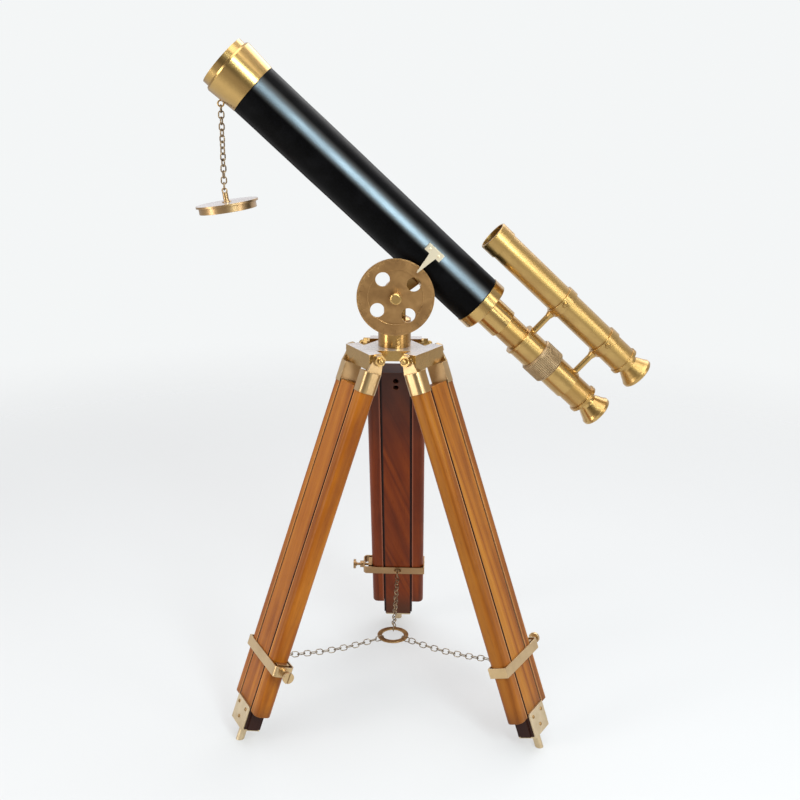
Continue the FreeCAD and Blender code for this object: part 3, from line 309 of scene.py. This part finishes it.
def antique_brass(name, axis_frame=None, tones=BROWN_BRASS):
    """Browner brass whose lacquer has dulled, with a speckle of dark spots and painted shade in its
    corners.
    """
    look = Look(name)
    rounded = look.soft_edges(DULLED_EDGE_ROUND)
    edge = look.edges(rounded)
    clouds = look.noise(look.place, 80, 6, 0.62, 0.4)
    speckle = look.noise(look.place, 1400, 3, 0.6)
    tint = look.ramp(clouds, (0.30, tones[0]), (0.52, tones[1]), (0.72, tones[2]))
    tint = look.blend(look.remap(speckle, 0.60, 0.74, 0.0, 0.55), tint, (0.13, 0.075, 0.035))
    tint = look.blend(look.calc("MULTIPLY", edge, 0.7), tint, (0.72, 0.47, 0.20))
    # Painted shade: corners darken towards near black, from ambient occlusion.
    corner_shade = look.remap(look.crevices(3 * MM), 0.3, 0.85, 0.65, 0.0)
    tint = look.blend(corner_shade, tint, (0.10, 0.052, 0.022))
    rough = look.remap(clouds, 0.3, 0.75, 0.36, 0.50)
    normal = rounded
    if axis_frame is not None:
        marks = look.lines(look.split(look.local(axis_frame))[0], DULLED_LATHE_PITCH)
        normal = look.bump(marks, 0.02 * MM, 0.2, normal)
    normal = look.bump(speckle, 0.03 * MM, 0.45, normal)
    return look.finish(Base_Color=tint, Metallic=1.0, Roughness=rough, Normal=normal)


# radii on the altitude disc, where the degree ticks start and end and the circle beyond them runs
TICKS_OUTER = 34.8 * MM
SHORT_TICK_INNER = 33.0 * MM
LONG_TICK_INNER = 30.6 * MM
TICK_CIRCLE = 35.1 * MM
TICK_CIRCLE_HALF = 0.12 * MM
SHORT_TICK_DEGREES = 2
LONG_TICK_DEGREES = 10
DISC_LATHE_PITCH = 0.45 * MM


def graduated_brass():
    """The altitude disc: turned antique brass, with worn degree ticks engraved round its rim."""
    look = Look("disc_brass")
    across, rise = look.split(look.local(DISC))[1:3]
    across_squared, rise_squared = (look.calc("MULTIPLY", part, part) for part in (across, rise))
    radius = look.calc("SQRT", look.calc("ADD", across_squared, rise_squared))
    angle = look.calc("MULTIPLY", look.calc("ARCTAN2", rise, across), 180 / math.pi)

    def ticks(step, inner, outer):
        """Radial lines every step degrees between two radii."""
        steps = look.calc("DIVIDE", look.calc("ADD", angle, 360 + step / 2), step)
        phase = look.calc("FRACT", steps)
        off = look.calc("MULTIPLY", look.calc("ABSOLUTE", look.calc("SUBTRACT", phase, 0.5)), step)
        line = look.remap(off, 0.16, 0.34, 1.0, 0.0)
        beyond = look.calc("GREATER_THAN", radius, inner)
        band = look.calc("MULTIPLY", beyond, look.calc("LESS_THAN", radius, outer))
        return look.calc("MULTIPLY", line, band)

    rounded = look.soft_edges(DULLED_EDGE_ROUND)
    edge = look.edges(rounded)
    clouds = look.noise(look.place, 70, 6, 0.62, 0.5)
    speckle = look.noise(look.place, 1500, 3, 0.6)
    turned = look.lines(radius, DISC_LATHE_PITCH)
    short_ticks = ticks(SHORT_TICK_DEGREES, SHORT_TICK_INNER, TICKS_OUTER)
    long_ticks = ticks(LONG_TICK_DEGREES, LONG_TICK_INNER, TICKS_OUTER)
    engraved = look.calc("MAXIMUM", short_ticks, long_ticks)
    circle = look.calc("COMPARE", radius, TICK_CIRCLE)
    circle.node.inputs[2].default_value = TICK_CIRCLE_HALF
    engraved = look.calc("MAXIMUM", engraved, look.calc("MULTIPLY", circle, 0.6))
    wear = look.remap(look.noise(look.place, 160, 4, 0.7), 0.38, 0.62, 0.15, 1.0)
    engraved = look.calc("MULTIPLY", engraved, wear)
    tint = look.ramp(
        clouds,
        (0.30, (0.36, 0.195, 0.075)), (0.52, (0.44, 0.245, 0.095)), (0.74, (0.52, 0.30, 0.12)))
    tint = look.blend(look.calc("MULTIPLY", turned, 0.35), tint, (0.36, 0.20, 0.08))
    tint = look.blend(look.remap(speckle, 0.60, 0.76, 0.0, 0.45), tint, (0.15, 0.085, 0.04))
    tint = look.blend(look.calc("MULTIPLY", engraved, 0.75), tint, (0.07, 0.04, 0.02))
    tint = look.blend(look.calc("MULTIPLY", edge, 0.7), tint, (0.80, 0.54, 0.24))
    normal = look.bump(turned, 0.02 * MM, 0.35, rounded)
    normal = look.bump(speckle, 0.03 * MM, 0.35, normal)
    normal = look.bump(look.calc("SUBTRACT", 1.0, engraved), 0.15 * MM, 0.8, normal)
    rough = look.remap(clouds, 0.3, 0.75, 0.34, 0.46)
    return look.finish(Base_Color=tint, Metallic=1.0, Roughness=rough, Normal=normal)


def wire(name, clean, stained):
    """Drawn chain wire, stained where the links rub least."""
    look = Look(name)
    stains = look.noise(look.place, 420, 4, 0.6)
    fine = look.noise(look.place, 2600, 2, 0.6)
    tint = look.blend(look.remap(stains, 0.38, 0.66, 0.0, 1.0), clean, stained)
    rough = look.remap(fine, 0.3, 0.7, 0.28, 0.46)
    normal = look.bump(fine, 0.02 * MM, 0.35)
    return look.finish(Base_Color=tint, Metallic=1.0, Roughness=rough, Normal=normal)


# ---------------------------------------------------------------- leather, thread, wood, glass

# heights over the tube's axis where the painted highlight band on its flanks fades in and out
HIGHLIGHT_FADE_IN = (0.0, 6 * MM)
HIGHLIGHT_FADE_OUT = (9 * MM, 17 * MM)
GRAIN_WANDER = 0.6 * MM


def leather():
    """Black bookbinding leather: fine pebbled grain, creases, and a painted highlight band on
    each flank.
    """
    look = Look("black_leather")
    wander = look.add("TexNoise", {"Vector": look.place, "Scale": 600.0}).outputs[1]
    grain = look.add("TexVoronoi", {
        "Vector": look.shift(look.place, look.stretch(wander, (GRAIN_WANDER,) * 3)),
        "Scale": 1250.0,
        "Smoothness": 0.35,
    }, feature="SMOOTH_F1").outputs[0]
    broad = look.noise(look.place, 45, 4, 0.55)
    fine = look.noise(look.place, 3200, 3, 0.6)
    high = look.remap(grain, 0.15, 0.65, 1.0, 0.0)
    tint = look.blend(high, (0.001, 0.001, 0.001), (0.003, 0.003, 0.004))
    tint = look.blend(look.remap(broad, 0.45, 0.75, 0.0, 0.5), tint, (0.006, 0.006, 0.007))
    worn_high = look.calc("MULTIPLY", high, -0.05)
    rough = look.calc("ADD", look.remap(broad, 0.3, 0.7, 0.36, 0.42), worn_high)
    normal = look.bump(high, 0.045 * MM, 0.38)
    normal = look.bump(fine, 0.015 * MM, 0.22, normal)
    normal = look.bump(broad, 0.5 * MM, 0.12, normal)
    # Painted highlight: in a band on each flank, where the key light's highlight falls, the
    # specular is strong and tinted blue; elsewhere it is weak and tinted warm.
    rise = look.split(look.local(TUBE))[2]
    below = look.remap(rise, *HIGHLIGHT_FADE_IN, 0.0, 1.0)
    band = look.calc("MULTIPLY", below, look.remap(rise, *HIGHLIGHT_FADE_OUT, 1.0, 0.0))
    highlight_level = look.calc("ADD", look.calc("MULTIPLY", band, 0.95), 0.03)
    highlight_tint = look.blend(band, (0.95, 0.92, 0.85), (0.74, 0.90, 1.0))
    return look.finish(
        Base_Color=tint, Roughness=rough, IOR=1.7, Specular_IOR_Level=highlight_level, Specular_Tint=highlight_tint,
        Normal=normal)


TWIST_PITCH = 0.5 * MM


def thread():
    """Waxed stitching thread, twisted."""
    look = Look("waxed_thread")
    along, across = look.split(look.local(TUBE))[:2]
    phase = look.calc("MULTIPLY", look.calc("ADD", along, across), 2 * math.pi / TWIST_PITCH)
    twist = look.calc("SINE", phase)
    fuzz = look.noise(look.place, 3000, 2)
    tint = look.blend(fuzz, (0.018, 0.017, 0.017), (0.055, 0.052, 0.050))
    normal = look.bump(twist, 0.05 * MM, 0.6)
    rough = look.remap(fuzz, 0.3, 0.7, 0.42, 0.60)
    return look.finish(Base_Color=tint, Roughness=rough, Normal=normal)


# distances from a leg's middle, across it, where each starts and where it is full
BOARD_SEAM_SHADE = (13.5 * MM, 14.4 * MM)
RAIL_RIM = (18.2 * MM, 17.0 * MM)
# places along a leg from its hinge, likewise
UPPER_SHADE = (-160 * MM, -20 * MM)
FOOT_SHADE = (-340 * MM, -376 * MM)
WOOD_EDGE_ROUND = 0.7 * MM


def wood(name, leg, tones, seed, part, slant=0.0, upper_shade=0.0):
    """Oiled rosewood: soft dark figure, fine grain and pores up the leg, lighter edges worn bare.

    part is "rail" or "board". Painted shade darkens the seam along a board's edges, where it meets
    the rails, and a rail's rim beside it is made lighter. slant turns the figure against the leg.
    upper_shade is how strongly painted shade greys and darkens the leg's upper end. The foot end
    always gets painted shade."""
    pale, middle, dark = tones
    lighter_rim_tone = tuple(min(1.0, 1.1 * c + 0.07) for c in pale)
    look = Look(name)
    turned = leg @ Matrix.Rotation(slant, 4, "Z")
    grain_way = look.local(turned, (0.055, 1, 1))
    shifted = look.shift(grain_way, (seed, seed * 0.7, seed * 1.3))
    straight = look.local(leg, (0.035, 1, 1))
    streak = tuple(0.35 * m + 0.65 * d for m, d in zip(middle, dark))
    figure = look.noise(shifted, 44, 3, 0.5, 0.7)
    bands = look.noise(shifted, 150, 3, 0.5, 0.4)
    fibres = look.noise(straight, 1500, 3, 0.6)
    pores = look.noise(straight, 2600, 2, 0.5)
    blotch = look.noise(look.place, 22, 3, 0.5)
    tint = look.ramp(
        figure,
        (0.30, pale), (0.44, middle), (0.51, streak), (0.57, middle), (0.70, pale))
    tint = look.blend(look.remap(bands, 0.40, 0.66, 0.0, 0.35), tint, middle)
    tint = look.blend(look.remap(fibres, 0.40, 0.72, 0.0, 0.14), tint, dark)
    tint = look.blend(look.remap(blotch, 0.40, 0.70, 0.0, 0.22), tint, pale)
    patches = look.noise(look.stretch(shifted, (1.6, 1, 1)), 17, 5, 0.62, 0.8)
    tint = look.blend(look.remap(patches, 0.48, 0.68, 0.0, 0.62), tint, dark)
    along, across = look.split(look.local(leg))[:2]
    off_centre = look.calc("ABSOLUTE", across)
    # Painted shade greys and darkens the leg's upper end.
    tint = look.blend(look.remap(along, *UPPER_SHADE, 0.0, upper_shade), tint, (0.038, 0.020, 0.016))
    # Painted shade darkens every leg's foot end.
    tint = look.blend(look.remap(along, *FOOT_SHADE, 0.0, 0.75), tint, (0.070, 0.028, 0.012))
    pore = look.remap(pores, 0.62, 0.70, 0.0, 1.0)
    tint = look.blend(look.calc("MULTIPLY", pore, 0.30), tint, tuple(0.35 * c for c in dark))
    rounded = look.soft_edges(WOOD_EDGE_ROUND)
    edge = look.edges(rounded)
    bare = tuple(min(1.0, 1.3 * c + 0.05) for c in pale)
    tint = look.blend(look.calc("MULTIPLY", edge, 0.6), tint, bare)
    # Painted shade darkens the corners, from ambient occlusion.
    corner_shade = look.remap(look.crevices(3 * MM), 0.25, 0.8, 0.7, 0.0)
    tint = look.blend(corner_shade, tint, tuple(0.25 * c for c in dark))
    if part == "board":
        # Painted shade: the board's edges darken to near black where the gap to the rails lies.
        seam = look.remap(off_centre, *BOARD_SEAM_SHADE, 0.0, 0.95)
        tint = look.blend(seam, tint, (0.020, 0.004, 0.003))
    else:
        # The rail's rim beside the board is made lighter.
        tint = look.blend(look.remap(off_centre, *RAIL_RIM, 0.0, 0.65), tint, lighter_rim_tone)
    fibrous = look.remap(fibres, 0.3, 0.7, 0.33, 0.45)
    rough = look.calc("ADD", fibrous, look.calc("MULTIPLY", pore, 0.2))
    normal = look.bump(look.calc("SUBTRACT", 1.0, pore), 0.06 * MM, 0.5, rounded)
    normal = look.bump(fibres, 0.04 * MM, 0.30, normal)
    return look.finish(
        Base_Color=tint, Roughness=rough, Specular_IOR_Level=0.16, Coat_Weight=0.05,
        Coat_Roughness=0.24, Normal=normal)


def coated_glass():
    """Lens glass with a faint coating, a little dust and fine wipe marks."""
    look = Look("coated_glass")
    dust = look.noise(look.place, 900, 3, 0.6)
    wipes = look.noise(look.stretch(look.place, (1, 5, 1)), 220, 2)
    dusty = look.remap(dust, 0.60, 0.72, 0.0, 0.5)
    tint = look.blend(dusty, (0.93, 0.97, 0.98), (0.70, 0.72, 0.70))
    rough = look.remap(wipes, 0.35, 0.75, 0.0, 0.06)
    normal = look.bump(wipes, 0.004 * MM, 0.2)
    return look.finish(
        Base_Color=tint, Roughness=rough, IOR=1.5, Transmission_Weight=1.0, Normal=normal,
        Thin_Film_Thickness=320.0, Thin_Film_IOR=1.38)


# ---------------------------------------------------------------- the leather wrap

def add_mesh(name, points, faces, material, body):
    """A smooth mesh that rides on a CAD body."""
    mesh = bpy.data.meshes.new(name)
    mesh.from_pydata([tuple(point) for point in points], [], faces)
    mesh.materials.append(material)
    mesh.polygons.foreach_set("use_smooth", [True] * len(mesh.polygons))
    mesh.update()
    piece = bpy.data.objects.new(name, mesh)
    bpy.context.scene.collection.objects.link(piece)
    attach(piece, body)
    return piece


# angles run round the tube from the camera's side (0) through the top (90)
SEAM_ANGLE = math.radians(-71)
SEAM_HALF = 1.6 * MM
SEAM_RISE = 0.32 * MM
STITCH_PITCH = 3.4 * MM
STITCH_LENGTH = 2.5 * MM
THREAD_RADIUS = 0.26 * MM
STITCH_SECTIONS, STITCH_SIDES = 9, 8
TURNED_EDGE = 0.9 * MM
EDGE_DROP = 0.55 * MM
WRAP_ROW_PITCH = 1.1 * MM
WRAP_INSET = 0.06 * MM


def wrap_size():
    """Rear end, front end, outer radius and inner radius of the leather, from its CAD node."""
    points = local_points("leather_sleeve", TUBE)
    radii = np.hypot(points[:, 1], points[:, 2])
    return points[:, 0].min(), points[:, 0].max(), radii.max(), radii.min()


def on_tube(station, angle, radius):
    """The world place of a point given by its station along the tube, its angle and its radius."""
    return TUBE @ Vector((station, radius * math.cos(angle), radius * math.sin(angle)))


def wrap_angles():
    """Angles round the wrap, close together at the seam."""
    fine = math.radians(6)
    near = np.linspace(-fine, fine, 61)
    far = np.linspace(fine, 2 * math.pi - fine, 180)[1:-1]
    return SEAM_ANGLE + np.concatenate([near, far])


def wrap_height(station, angle, rear, front, radius):
    """How far the leather's surface stands off its nominal radius, at one place."""
    to_end = min(station - rear, front - station)
    edge = 0.0
    if to_end < TURNED_EDGE:
        share = 1 - to_end / TURNED_EDGE
        edge = -EDGE_DROP * (1 - math.sqrt(max(0.0, 1 - share * share)))
    swell = 0.035 * MM * math.sin(61 * station + 2.1 * math.sin(2 * angle))
    swell += 0.03 * MM * math.sin(3 * angle + 143 * station)
    offset = math.remainder(angle - SEAM_ANGLE, 2 * math.pi) * radius
    if abs(offset) < SEAM_HALF:
        ridge = math.cos(offset / SEAM_HALF * math.pi / 2) ** 2
        pull = 0.5 + 0.5 * math.cos(2 * math.pi * (station - rear) / STITCH_PITCH)
        groove = math.exp(-(offset / (0.3 * MM)) ** 2)
        edge += SEAM_RISE * ridge - 0.16 * MM * pull * groove
    return edge + swell


def make_wrap(material):
    """The leather as a closed thick sleeve with turned ends and a raised seam."""
    rear, front, outer, inner = wrap_size()
    ends = TURNED_EDGE * np.linspace(0, 1, 7)
    middle = np.arange(rear + ends[-1], front - ends[-1], WRAP_ROW_PITCH)[1:]
    stations = np.concatenate([rear + ends, middle, front - ends[::-1]])
    angles = wrap_angles()
    around = len(angles)
    points = []
    for station in stations:
        for angle in angles:
            height = wrap_height(station, angle, rear, front, outer)
            points.append(on_tube(station, angle, outer - WRAP_INSET + height))
    for station in (front, rear):
        for angle in angles:
            points.append(on_tube(station, angle, inner))
    rows = len(stations) + 2
    faces = []
    for row in range(rows):
        after = (row + 1) % rows
        for column in range(around):
            beside = (column + 1) % around
            faces.append((
                row * around + column,
                row * around + beside,
                after * around + beside,
                after * around + column,
            ))
    piece = add_mesh("leather_wrap", points, faces, material, "telescope")
    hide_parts("leather_sleeve")
    return piece


def make_stitches(material):
    """A row of thread stitches sunk in the seam, leaving out those under the saddle."""
    rear, front, outer = wrap_size()[:3]
    saddle = local_points("saddle", TUBE)
    saddle_rear, saddle_front = saddle[:, 0].min(), saddle[:, 0].max()
    sections, sides = STITCH_SECTIONS, STITCH_SIDES
    points, faces = [], []
    count = int((front - rear) / STITCH_PITCH)
    for number in range(count):
        centre = rear + (number + 0.5) * STITCH_PITCH
        if saddle_rear - STITCH_LENGTH < centre < saddle_front + STITCH_LENGTH:
            continue
        first = len(points)
        for section in range(sections):
            share = section / (sections - 1)
            swing = math.cos((share - 0.5) * math.pi)
            station = centre + (share - 0.5) * STITCH_LENGTH
            radius = outer + SEAM_RISE * 0.72 * swing - 0.14 * MM * (1 - swing)
            fullness = math.sqrt(max(0.0, 1 - (2 * share - 1) ** 4))
            thickness = THREAD_RADIUS * (0.35 + 0.65 * fullness)
            for side in range(sides):
                turn = 2 * math.pi * side / sides
                angle = SEAM_ANGLE + thickness * math.cos(turn) / outer
                points.append(on_tube(station, angle, radius + thickness * math.sin(turn)))
        for section in range(sections - 1):
            for side in range(sides):
                a = first + section * sides + side
                b = first + section * sides + (side + 1) % sides
                faces.append((a, b, b + sides, a + sides))
        faces.append(tuple(first + side for side in reversed(range(sides))))
        faces.append(tuple(first + (sections - 1) * sides + side for side in range(sides)))
    return add_mesh("leather_stitches", points, faces, material, "telescope")


# ---------------------------------------------------------------- giving every node its finish

def dress(material, *names):
    for name in names:
        mesh = NODES[name].data
        mesh.materials.clear()
        mesh.materials.append(material)


def dress_head():
    # The head's upward faces carry a pale painted reflection.
    dress(brass("head_brass", gloss=0.20, tarnish=0.3, top_reflection=1.0), "tripod_head")
    dress(brass("stud_brass", gloss=0.24, seed=3.0), "hinge_bolts", "tilt_bolt", "azimuth_screw")
    pillar = brass(
        "pillar_brass", COLUMN, bright=(0.50, 0.29, 0.085), dull=(0.26, 0.125, 0.03), gloss=0.20,
        tarnish=0.35, seed=1.0)
    dress(pillar, "pillar")
    dress(brass("hub_brass", DISC, gloss=0.24, seed=5.0), "hub_nut")
    dress(graduated_brass(), "altitude_disc")


def dress_tube():
    dress(
        brass("tube_brass", TUBE, gloss=0.17, tarnish=0.22, seed=2.0),
        "objective_cell", "rear_ring", "barrel")
    dress(brass("saddle_brass", gloss=0.26, seed=4.0), "saddle", "saddle_screws")
    dress(
        brass(
            "pointer_brass", bright=(0.95, 0.84, 0.62), dull=(0.74, 0.61, 0.40), gloss=0.34,
            tarnish=0.3, seed=6.0),
        "pointer", "pointer_rivets")
    dress(coated_glass(), "objective_lens", "finder_lens", "eye_lens", "finder_eye_lens")
    make_wrap(leather())
    make_stitches(thread())


def dress_draw():
    dress(
        brass(
            "draw_brass", TUBE, bright=(0.56, 0.34, 0.10), gloss=0.26, tarnish=0.45, seed=7.0),
        "draw_tube", "eye_tube")
    dress(
        brass(
            "finder_brass", FINDER, bright=(0.54, 0.345, 0.11), gloss=0.30, tarnish=0.40, seed=8.0),
        "finder_tube", "finder_cell", "finder_eyepiece")
    dress(
        brass("bracket_brass", gloss=0.24, tarnish=0.40, seed=9.0),
        "bracket_front", "bracket_rear", "clamp_screws")
    dress(brass("eyepiece_brass", TUBE, gloss=0.20, tarnish=0.45, seed=10.0), "eyepiece")
    dress(antique_brass("knurl_brass", TUBE, GREY_BRASS), "knurled_ring")


def dress_legs():
    # pale, middle and dark tone of each leg's wood; the right leg's are darker as painted shade,
    # and the back leg's darkest, partly darker wood and partly painted shade
    tones = {
        "left": ((0.53, 0.195, 0.016), (0.39, 0.118, 0.008), (0.18, 0.038, 0.003)),
        "right": ((0.42, 0.160, 0.016), (0.30, 0.092, 0.008), (0.13, 0.030, 0.003)),
        "back": ((0.29, 0.056, 0.003), (0.18, 0.028, 0.002), (0.08, 0.011, 0.001)),
    }
    for number, side in enumerate(SIDES):
        leg = LEGS[side]
        # Only the back leg gets painted shade over its upper end, under the head.
        upper_shade = 0.85 if side == "back" else 0.0
        rails = wood("rail_wood_" + side, leg, tones[side], 1.7 + number, "rail", 0.0, upper_shade)
        slant = math.radians(-20) if side == "back" else math.radians(2)
        board = wood(
            "board_wood_" + side, leg, tones[side], 5.3 + number, "board", slant, upper_shade)
        dress(rails, "rails_" + side)
        dress(board, "board_" + side)
        ferrule = brass(
            "ferrule_brass_" + side, bright=(0.60, 0.41, 0.19), dull=(0.36, 0.22, 0.085),
            gloss=0.27, tarnish=0.4, seed=11.0 + number)
        dress(ferrule, "ferrules_" + side)
        clean, stained = ((0.64, 0.45, 0.23), (0.40, 0.26, 0.11))
        # The back leg's clamp is darker: painted shade.
        if side == "back":
            clean, stained = ((0.42, 0.25, 0.11), (0.22, 0.11, 0.04))
        strap = brass(
            "strap_brass_" + side, bright=clean, dull=stained, gloss=0.29, seed=15.0 + number)
        dress(strap, "clamp_strap_" + side, "clamp_block_" + side, "thumb_screw_" + side)
        plate = brass(
            "plate_brass_" + side, bright=(0.72, 0.57, 0.36), dull=(0.46, 0.34, 0.18),
            gloss=0.34, tarnish=0.6, seed=19.0 + number)
        dress(plate, "foot_plate_" + side)
        dress(antique_brass("foot_screw_brass_" + side), "foot_screws_" + side)


def dress_chains():
    steel = wire("spreader_wire", (0.42, 0.36, 0.28), (0.19, 0.14, 0.09))
    dress(steel, "spreader_chain_left", "spreader_chain_right")
    brown = wire("brown_wire", (0.38, 0.28, 0.17), (0.14, 0.09, 0.05))
    dress(brown, "spreader_chain_back", "cap_chain")
    dress(antique_brass("ring_brass"), "spreader_ring")
    # The cap's upward faces carry a pale painted reflection.
    cap = brass(
        "cap_brass", bright=(0.52, 0.34, 0.16), dull=(0.30, 0.18, 0.07), gloss=0.28, top_reflection=1.0,
        seed=23.0)
    dress(cap, "lens_cap")


# ---------------------------------------------------------------- floor, light and camera

BACKDROP = (0.905, 0.922, 0.925)
FLOOR_RADIUS = 2.0
FLOOR_CORNERS = 96
# distances from the middle where the floor starts to fade and is gone
FLOOR_FADE = (0.75, 1.7)
# the floor lies this far under the feet
FLOOR_DROP = 0.2 * MM


def make_floor():
    """A large pale disc that fades out into the backdrop."""
    look = Look("floor_paper")
    outward = look.add("VectorMath", {0: look.place}, operation="LENGTH").outputs["Value"]
    fade = look.remap(outward, *FLOOR_FADE, 0.0, 1.0)
    fibre = look.noise(look.place, 320, 4, 0.6)
    mottle = look.noise(look.place, 2.5, 2)
    tint = look.blend(mottle, (0.295, 0.30, 0.30), (0.31, 0.315, 0.315))
    surface = look.add("BsdfPrincipled", {
        "Base Color": tint,
        "Roughness": 0.62,
        "Specular IOR Level": 0.1,
        "Emission Color": (0.99, 1.0, 1.0, 1.0),
        "Emission Strength": 0.47,
        "Normal": look.bump(fibre, 0.05 * MM, 0.15),
    }).outputs[0]
    clear = look.add("BsdfTransparent").outputs[0]
    mixed = look.add("MixShader", {0: fade, 1: surface, 2: clear}).outputs[0]
    output = look.add("OutputMaterial")
    look.tree.links.new(mixed, output.inputs["Surface"])
    turns = [2 * math.pi * n / FLOOR_CORNERS for n in range(FLOOR_CORNERS)]
    corners = [(FLOOR_RADIUS * math.cos(turn), FLOOR_RADIUS * math.sin(turn), 0) for turn in turns]
    mesh = bpy.data.meshes.new("floor")
    mesh.from_pydata(corners, [], [tuple(range(FLOOR_CORNERS))])
    mesh.materials.append(look.material)
    floor = bpy.data.objects.new("floor", mesh)
    floor.location = (PILLAR_FOOT.x, PILLAR_FOOT.y, -FLOOR_DROP)
    bpy.context.scene.collection.objects.link(floor)


def make_world():
    """White for the camera. Reflections see a bright backdrop, pale paper below, a dimmer room."""
    world = bpy.data.worlds.new("studio")
    world.use_nodes = True
    bpy.context.scene.world = world
    nodes, links = world.node_tree.nodes, world.node_tree.links
    nodes.clear()
    way = nodes.new("ShaderNodeTexCoord").outputs["Generated"]
    towards = nodes.new("ShaderNodeVectorMath")
    towards.operation = "DOT_PRODUCT"
    towards.inputs[1].default_value = (0.10, 0.97, 0.22)
    links.new(way, towards.inputs[0])
    share = nodes.new("ShaderNodeMapRange")
    share.inputs["From Min"].default_value = -1.0
    links.new(towards.outputs["Value"], share.inputs["Value"])
    room = nodes.new("ShaderNodeValToRGB")
    room.color_ramp.elements[0].position = 0.10
    room.color_ramp.elements[0].color = (0.16, 0.14, 0.13, 1)
    room.color_ramp.elements[1].position = 0.78
    room.color_ramp.elements[1].color = (0.95, 0.95, 1.0, 1)
    middle = room.color_ramp.elements.new(0.45)
    middle.color = (0.42, 0.41, 0.42, 1)
    links.new(share.outputs[0], room.inputs[0])
    height = nodes.new("ShaderNodeSeparateXYZ")
    links.new(way, height.inputs[0])
    below = nodes.new("ShaderNodeMapRange")
    below.inputs["From Min"].default_value = -0.02
    below.inputs["From Max"].default_value = -0.14
    links.new(height.outputs[2], below.inputs["Value"])
    paper = nodes.new("ShaderNodeMix")
    paper.data_type = "RGBA"
    paper.inputs[7].default_value = (0.60, 0.57, 0.56, 1)
    links.new(below.outputs[0], paper.inputs[0])
    links.new(room.outputs[0], paper.inputs[6])
    seen = nodes.new("ShaderNodeBackground")
    seen.inputs[0].default_value = (*BACKDROP, 1)
    around = nodes.new("ShaderNodeBackground")
    around.inputs[1].default_value = 0.85
    links.new(paper.outputs[2], around.inputs[0])
    mixer = nodes.new("ShaderNodeMixShader")
    links.new(nodes.new("ShaderNodeLightPath").outputs["Is Camera Ray"], mixer.inputs[0])
    links.new(around.outputs[0], mixer.inputs[1])
    links.new(seen.outputs[0], mixer.inputs[2])
    output = nodes.new("ShaderNodeOutputWorld")
    links.new(mixer.outputs[0], output.inputs["Surface"])


def softbox(name, bearing, elevation, distance, width, height, power, tint, aim):
    """A soft area light. Bearing turns from the camera's side towards its right, in degrees."""
    turn, rise = math.radians(bearing), math.radians(elevation)
    level = math.cos(rise)
    way = Vector((math.sin(turn) * level, -math.cos(turn) * level, math.sin(rise)))
    lamp = bpy.data.lights.new(name, "AREA")
    lamp.shape = "RECTANGLE"
    lamp.size = width
    lamp.size_y = height
    lamp.energy = power
    lamp.color = tint
    light = bpy.data.objects.new(name, lamp)
    light.location = aim + way * distance
    light.rotation_mode = "QUATERNION"
    light.rotation_quaternion = (-way).to_track_quat("-Z", "Y")
    light.visible_camera = False
    bpy.context.scene.collection.objects.link(light)


def make_lights():
    middle = PILLAR_FOOT + UP * 0.35
    softbox("key", 27, 27, 1.25, 0.30, 0.5, 10.5, (0.82, 0.95, 1.0), middle)
    softbox("left", -62, 10, 1.15, 0.26, 1.1, 5.5, (1.0, 0.98, 0.95), middle)
    softbox("near", 55, 8, 1.40, 0.22, 1.2, 3.5, (1.0, 0.98, 0.96), middle)
    softbox("top", 20, 78, 1.7, 1.6, 1.6, 22.0, (1.0, 1.0, 1.0), middle)
    softbox("behind", 150, 40, 1.8, 1.2, 0.9, 9.0, (1.0, 1.0, 1.0), middle)


# the camera's place from the foot of the pillar, and how it is turned
CAMERA_ASIDE = -0.0009
CAMERA_BACK = 0.9594
CAMERA_HEIGHT = 0.6067
CAMERA_LENS_MM = 46.57
CAMERA_YAW = math.radians(0.39)
CAMERA_PITCH = math.radians(16.45)
CAMERA_ROLL = math.radians(0.40)


def make_camera():
    data = bpy.data.cameras.new("camera")
    data.lens = CAMERA_LENS_MM
    data.sensor_width = 36
    data.clip_start = 0.05
    camera = bpy.data.objects.new("camera", data)
    yaw = Matrix.Rotation(-CAMERA_YAW, 4, "Z")
    pitch = Matrix.Rotation(math.pi / 2 - CAMERA_PITCH, 4, "X")
    turn = yaw @ pitch @ Matrix.Rotation(CAMERA_ROLL, 4, "Z")
    place = PILLAR_FOOT + Vector((CAMERA_ASIDE, -CAMERA_BACK, CAMERA_HEIGHT))
    camera.matrix_world = Matrix.Translation(place) @ turn
    bpy.context.scene.collection.objects.link(camera)
    bpy.context.scene.camera = camera
    bpy.context.scene.view_settings.view_transform = "Standard"


dress_head()
dress_tube()
dress_draw()
dress_legs()
dress_chains()
make_floor()
make_world()
make_lights()
make_camera()
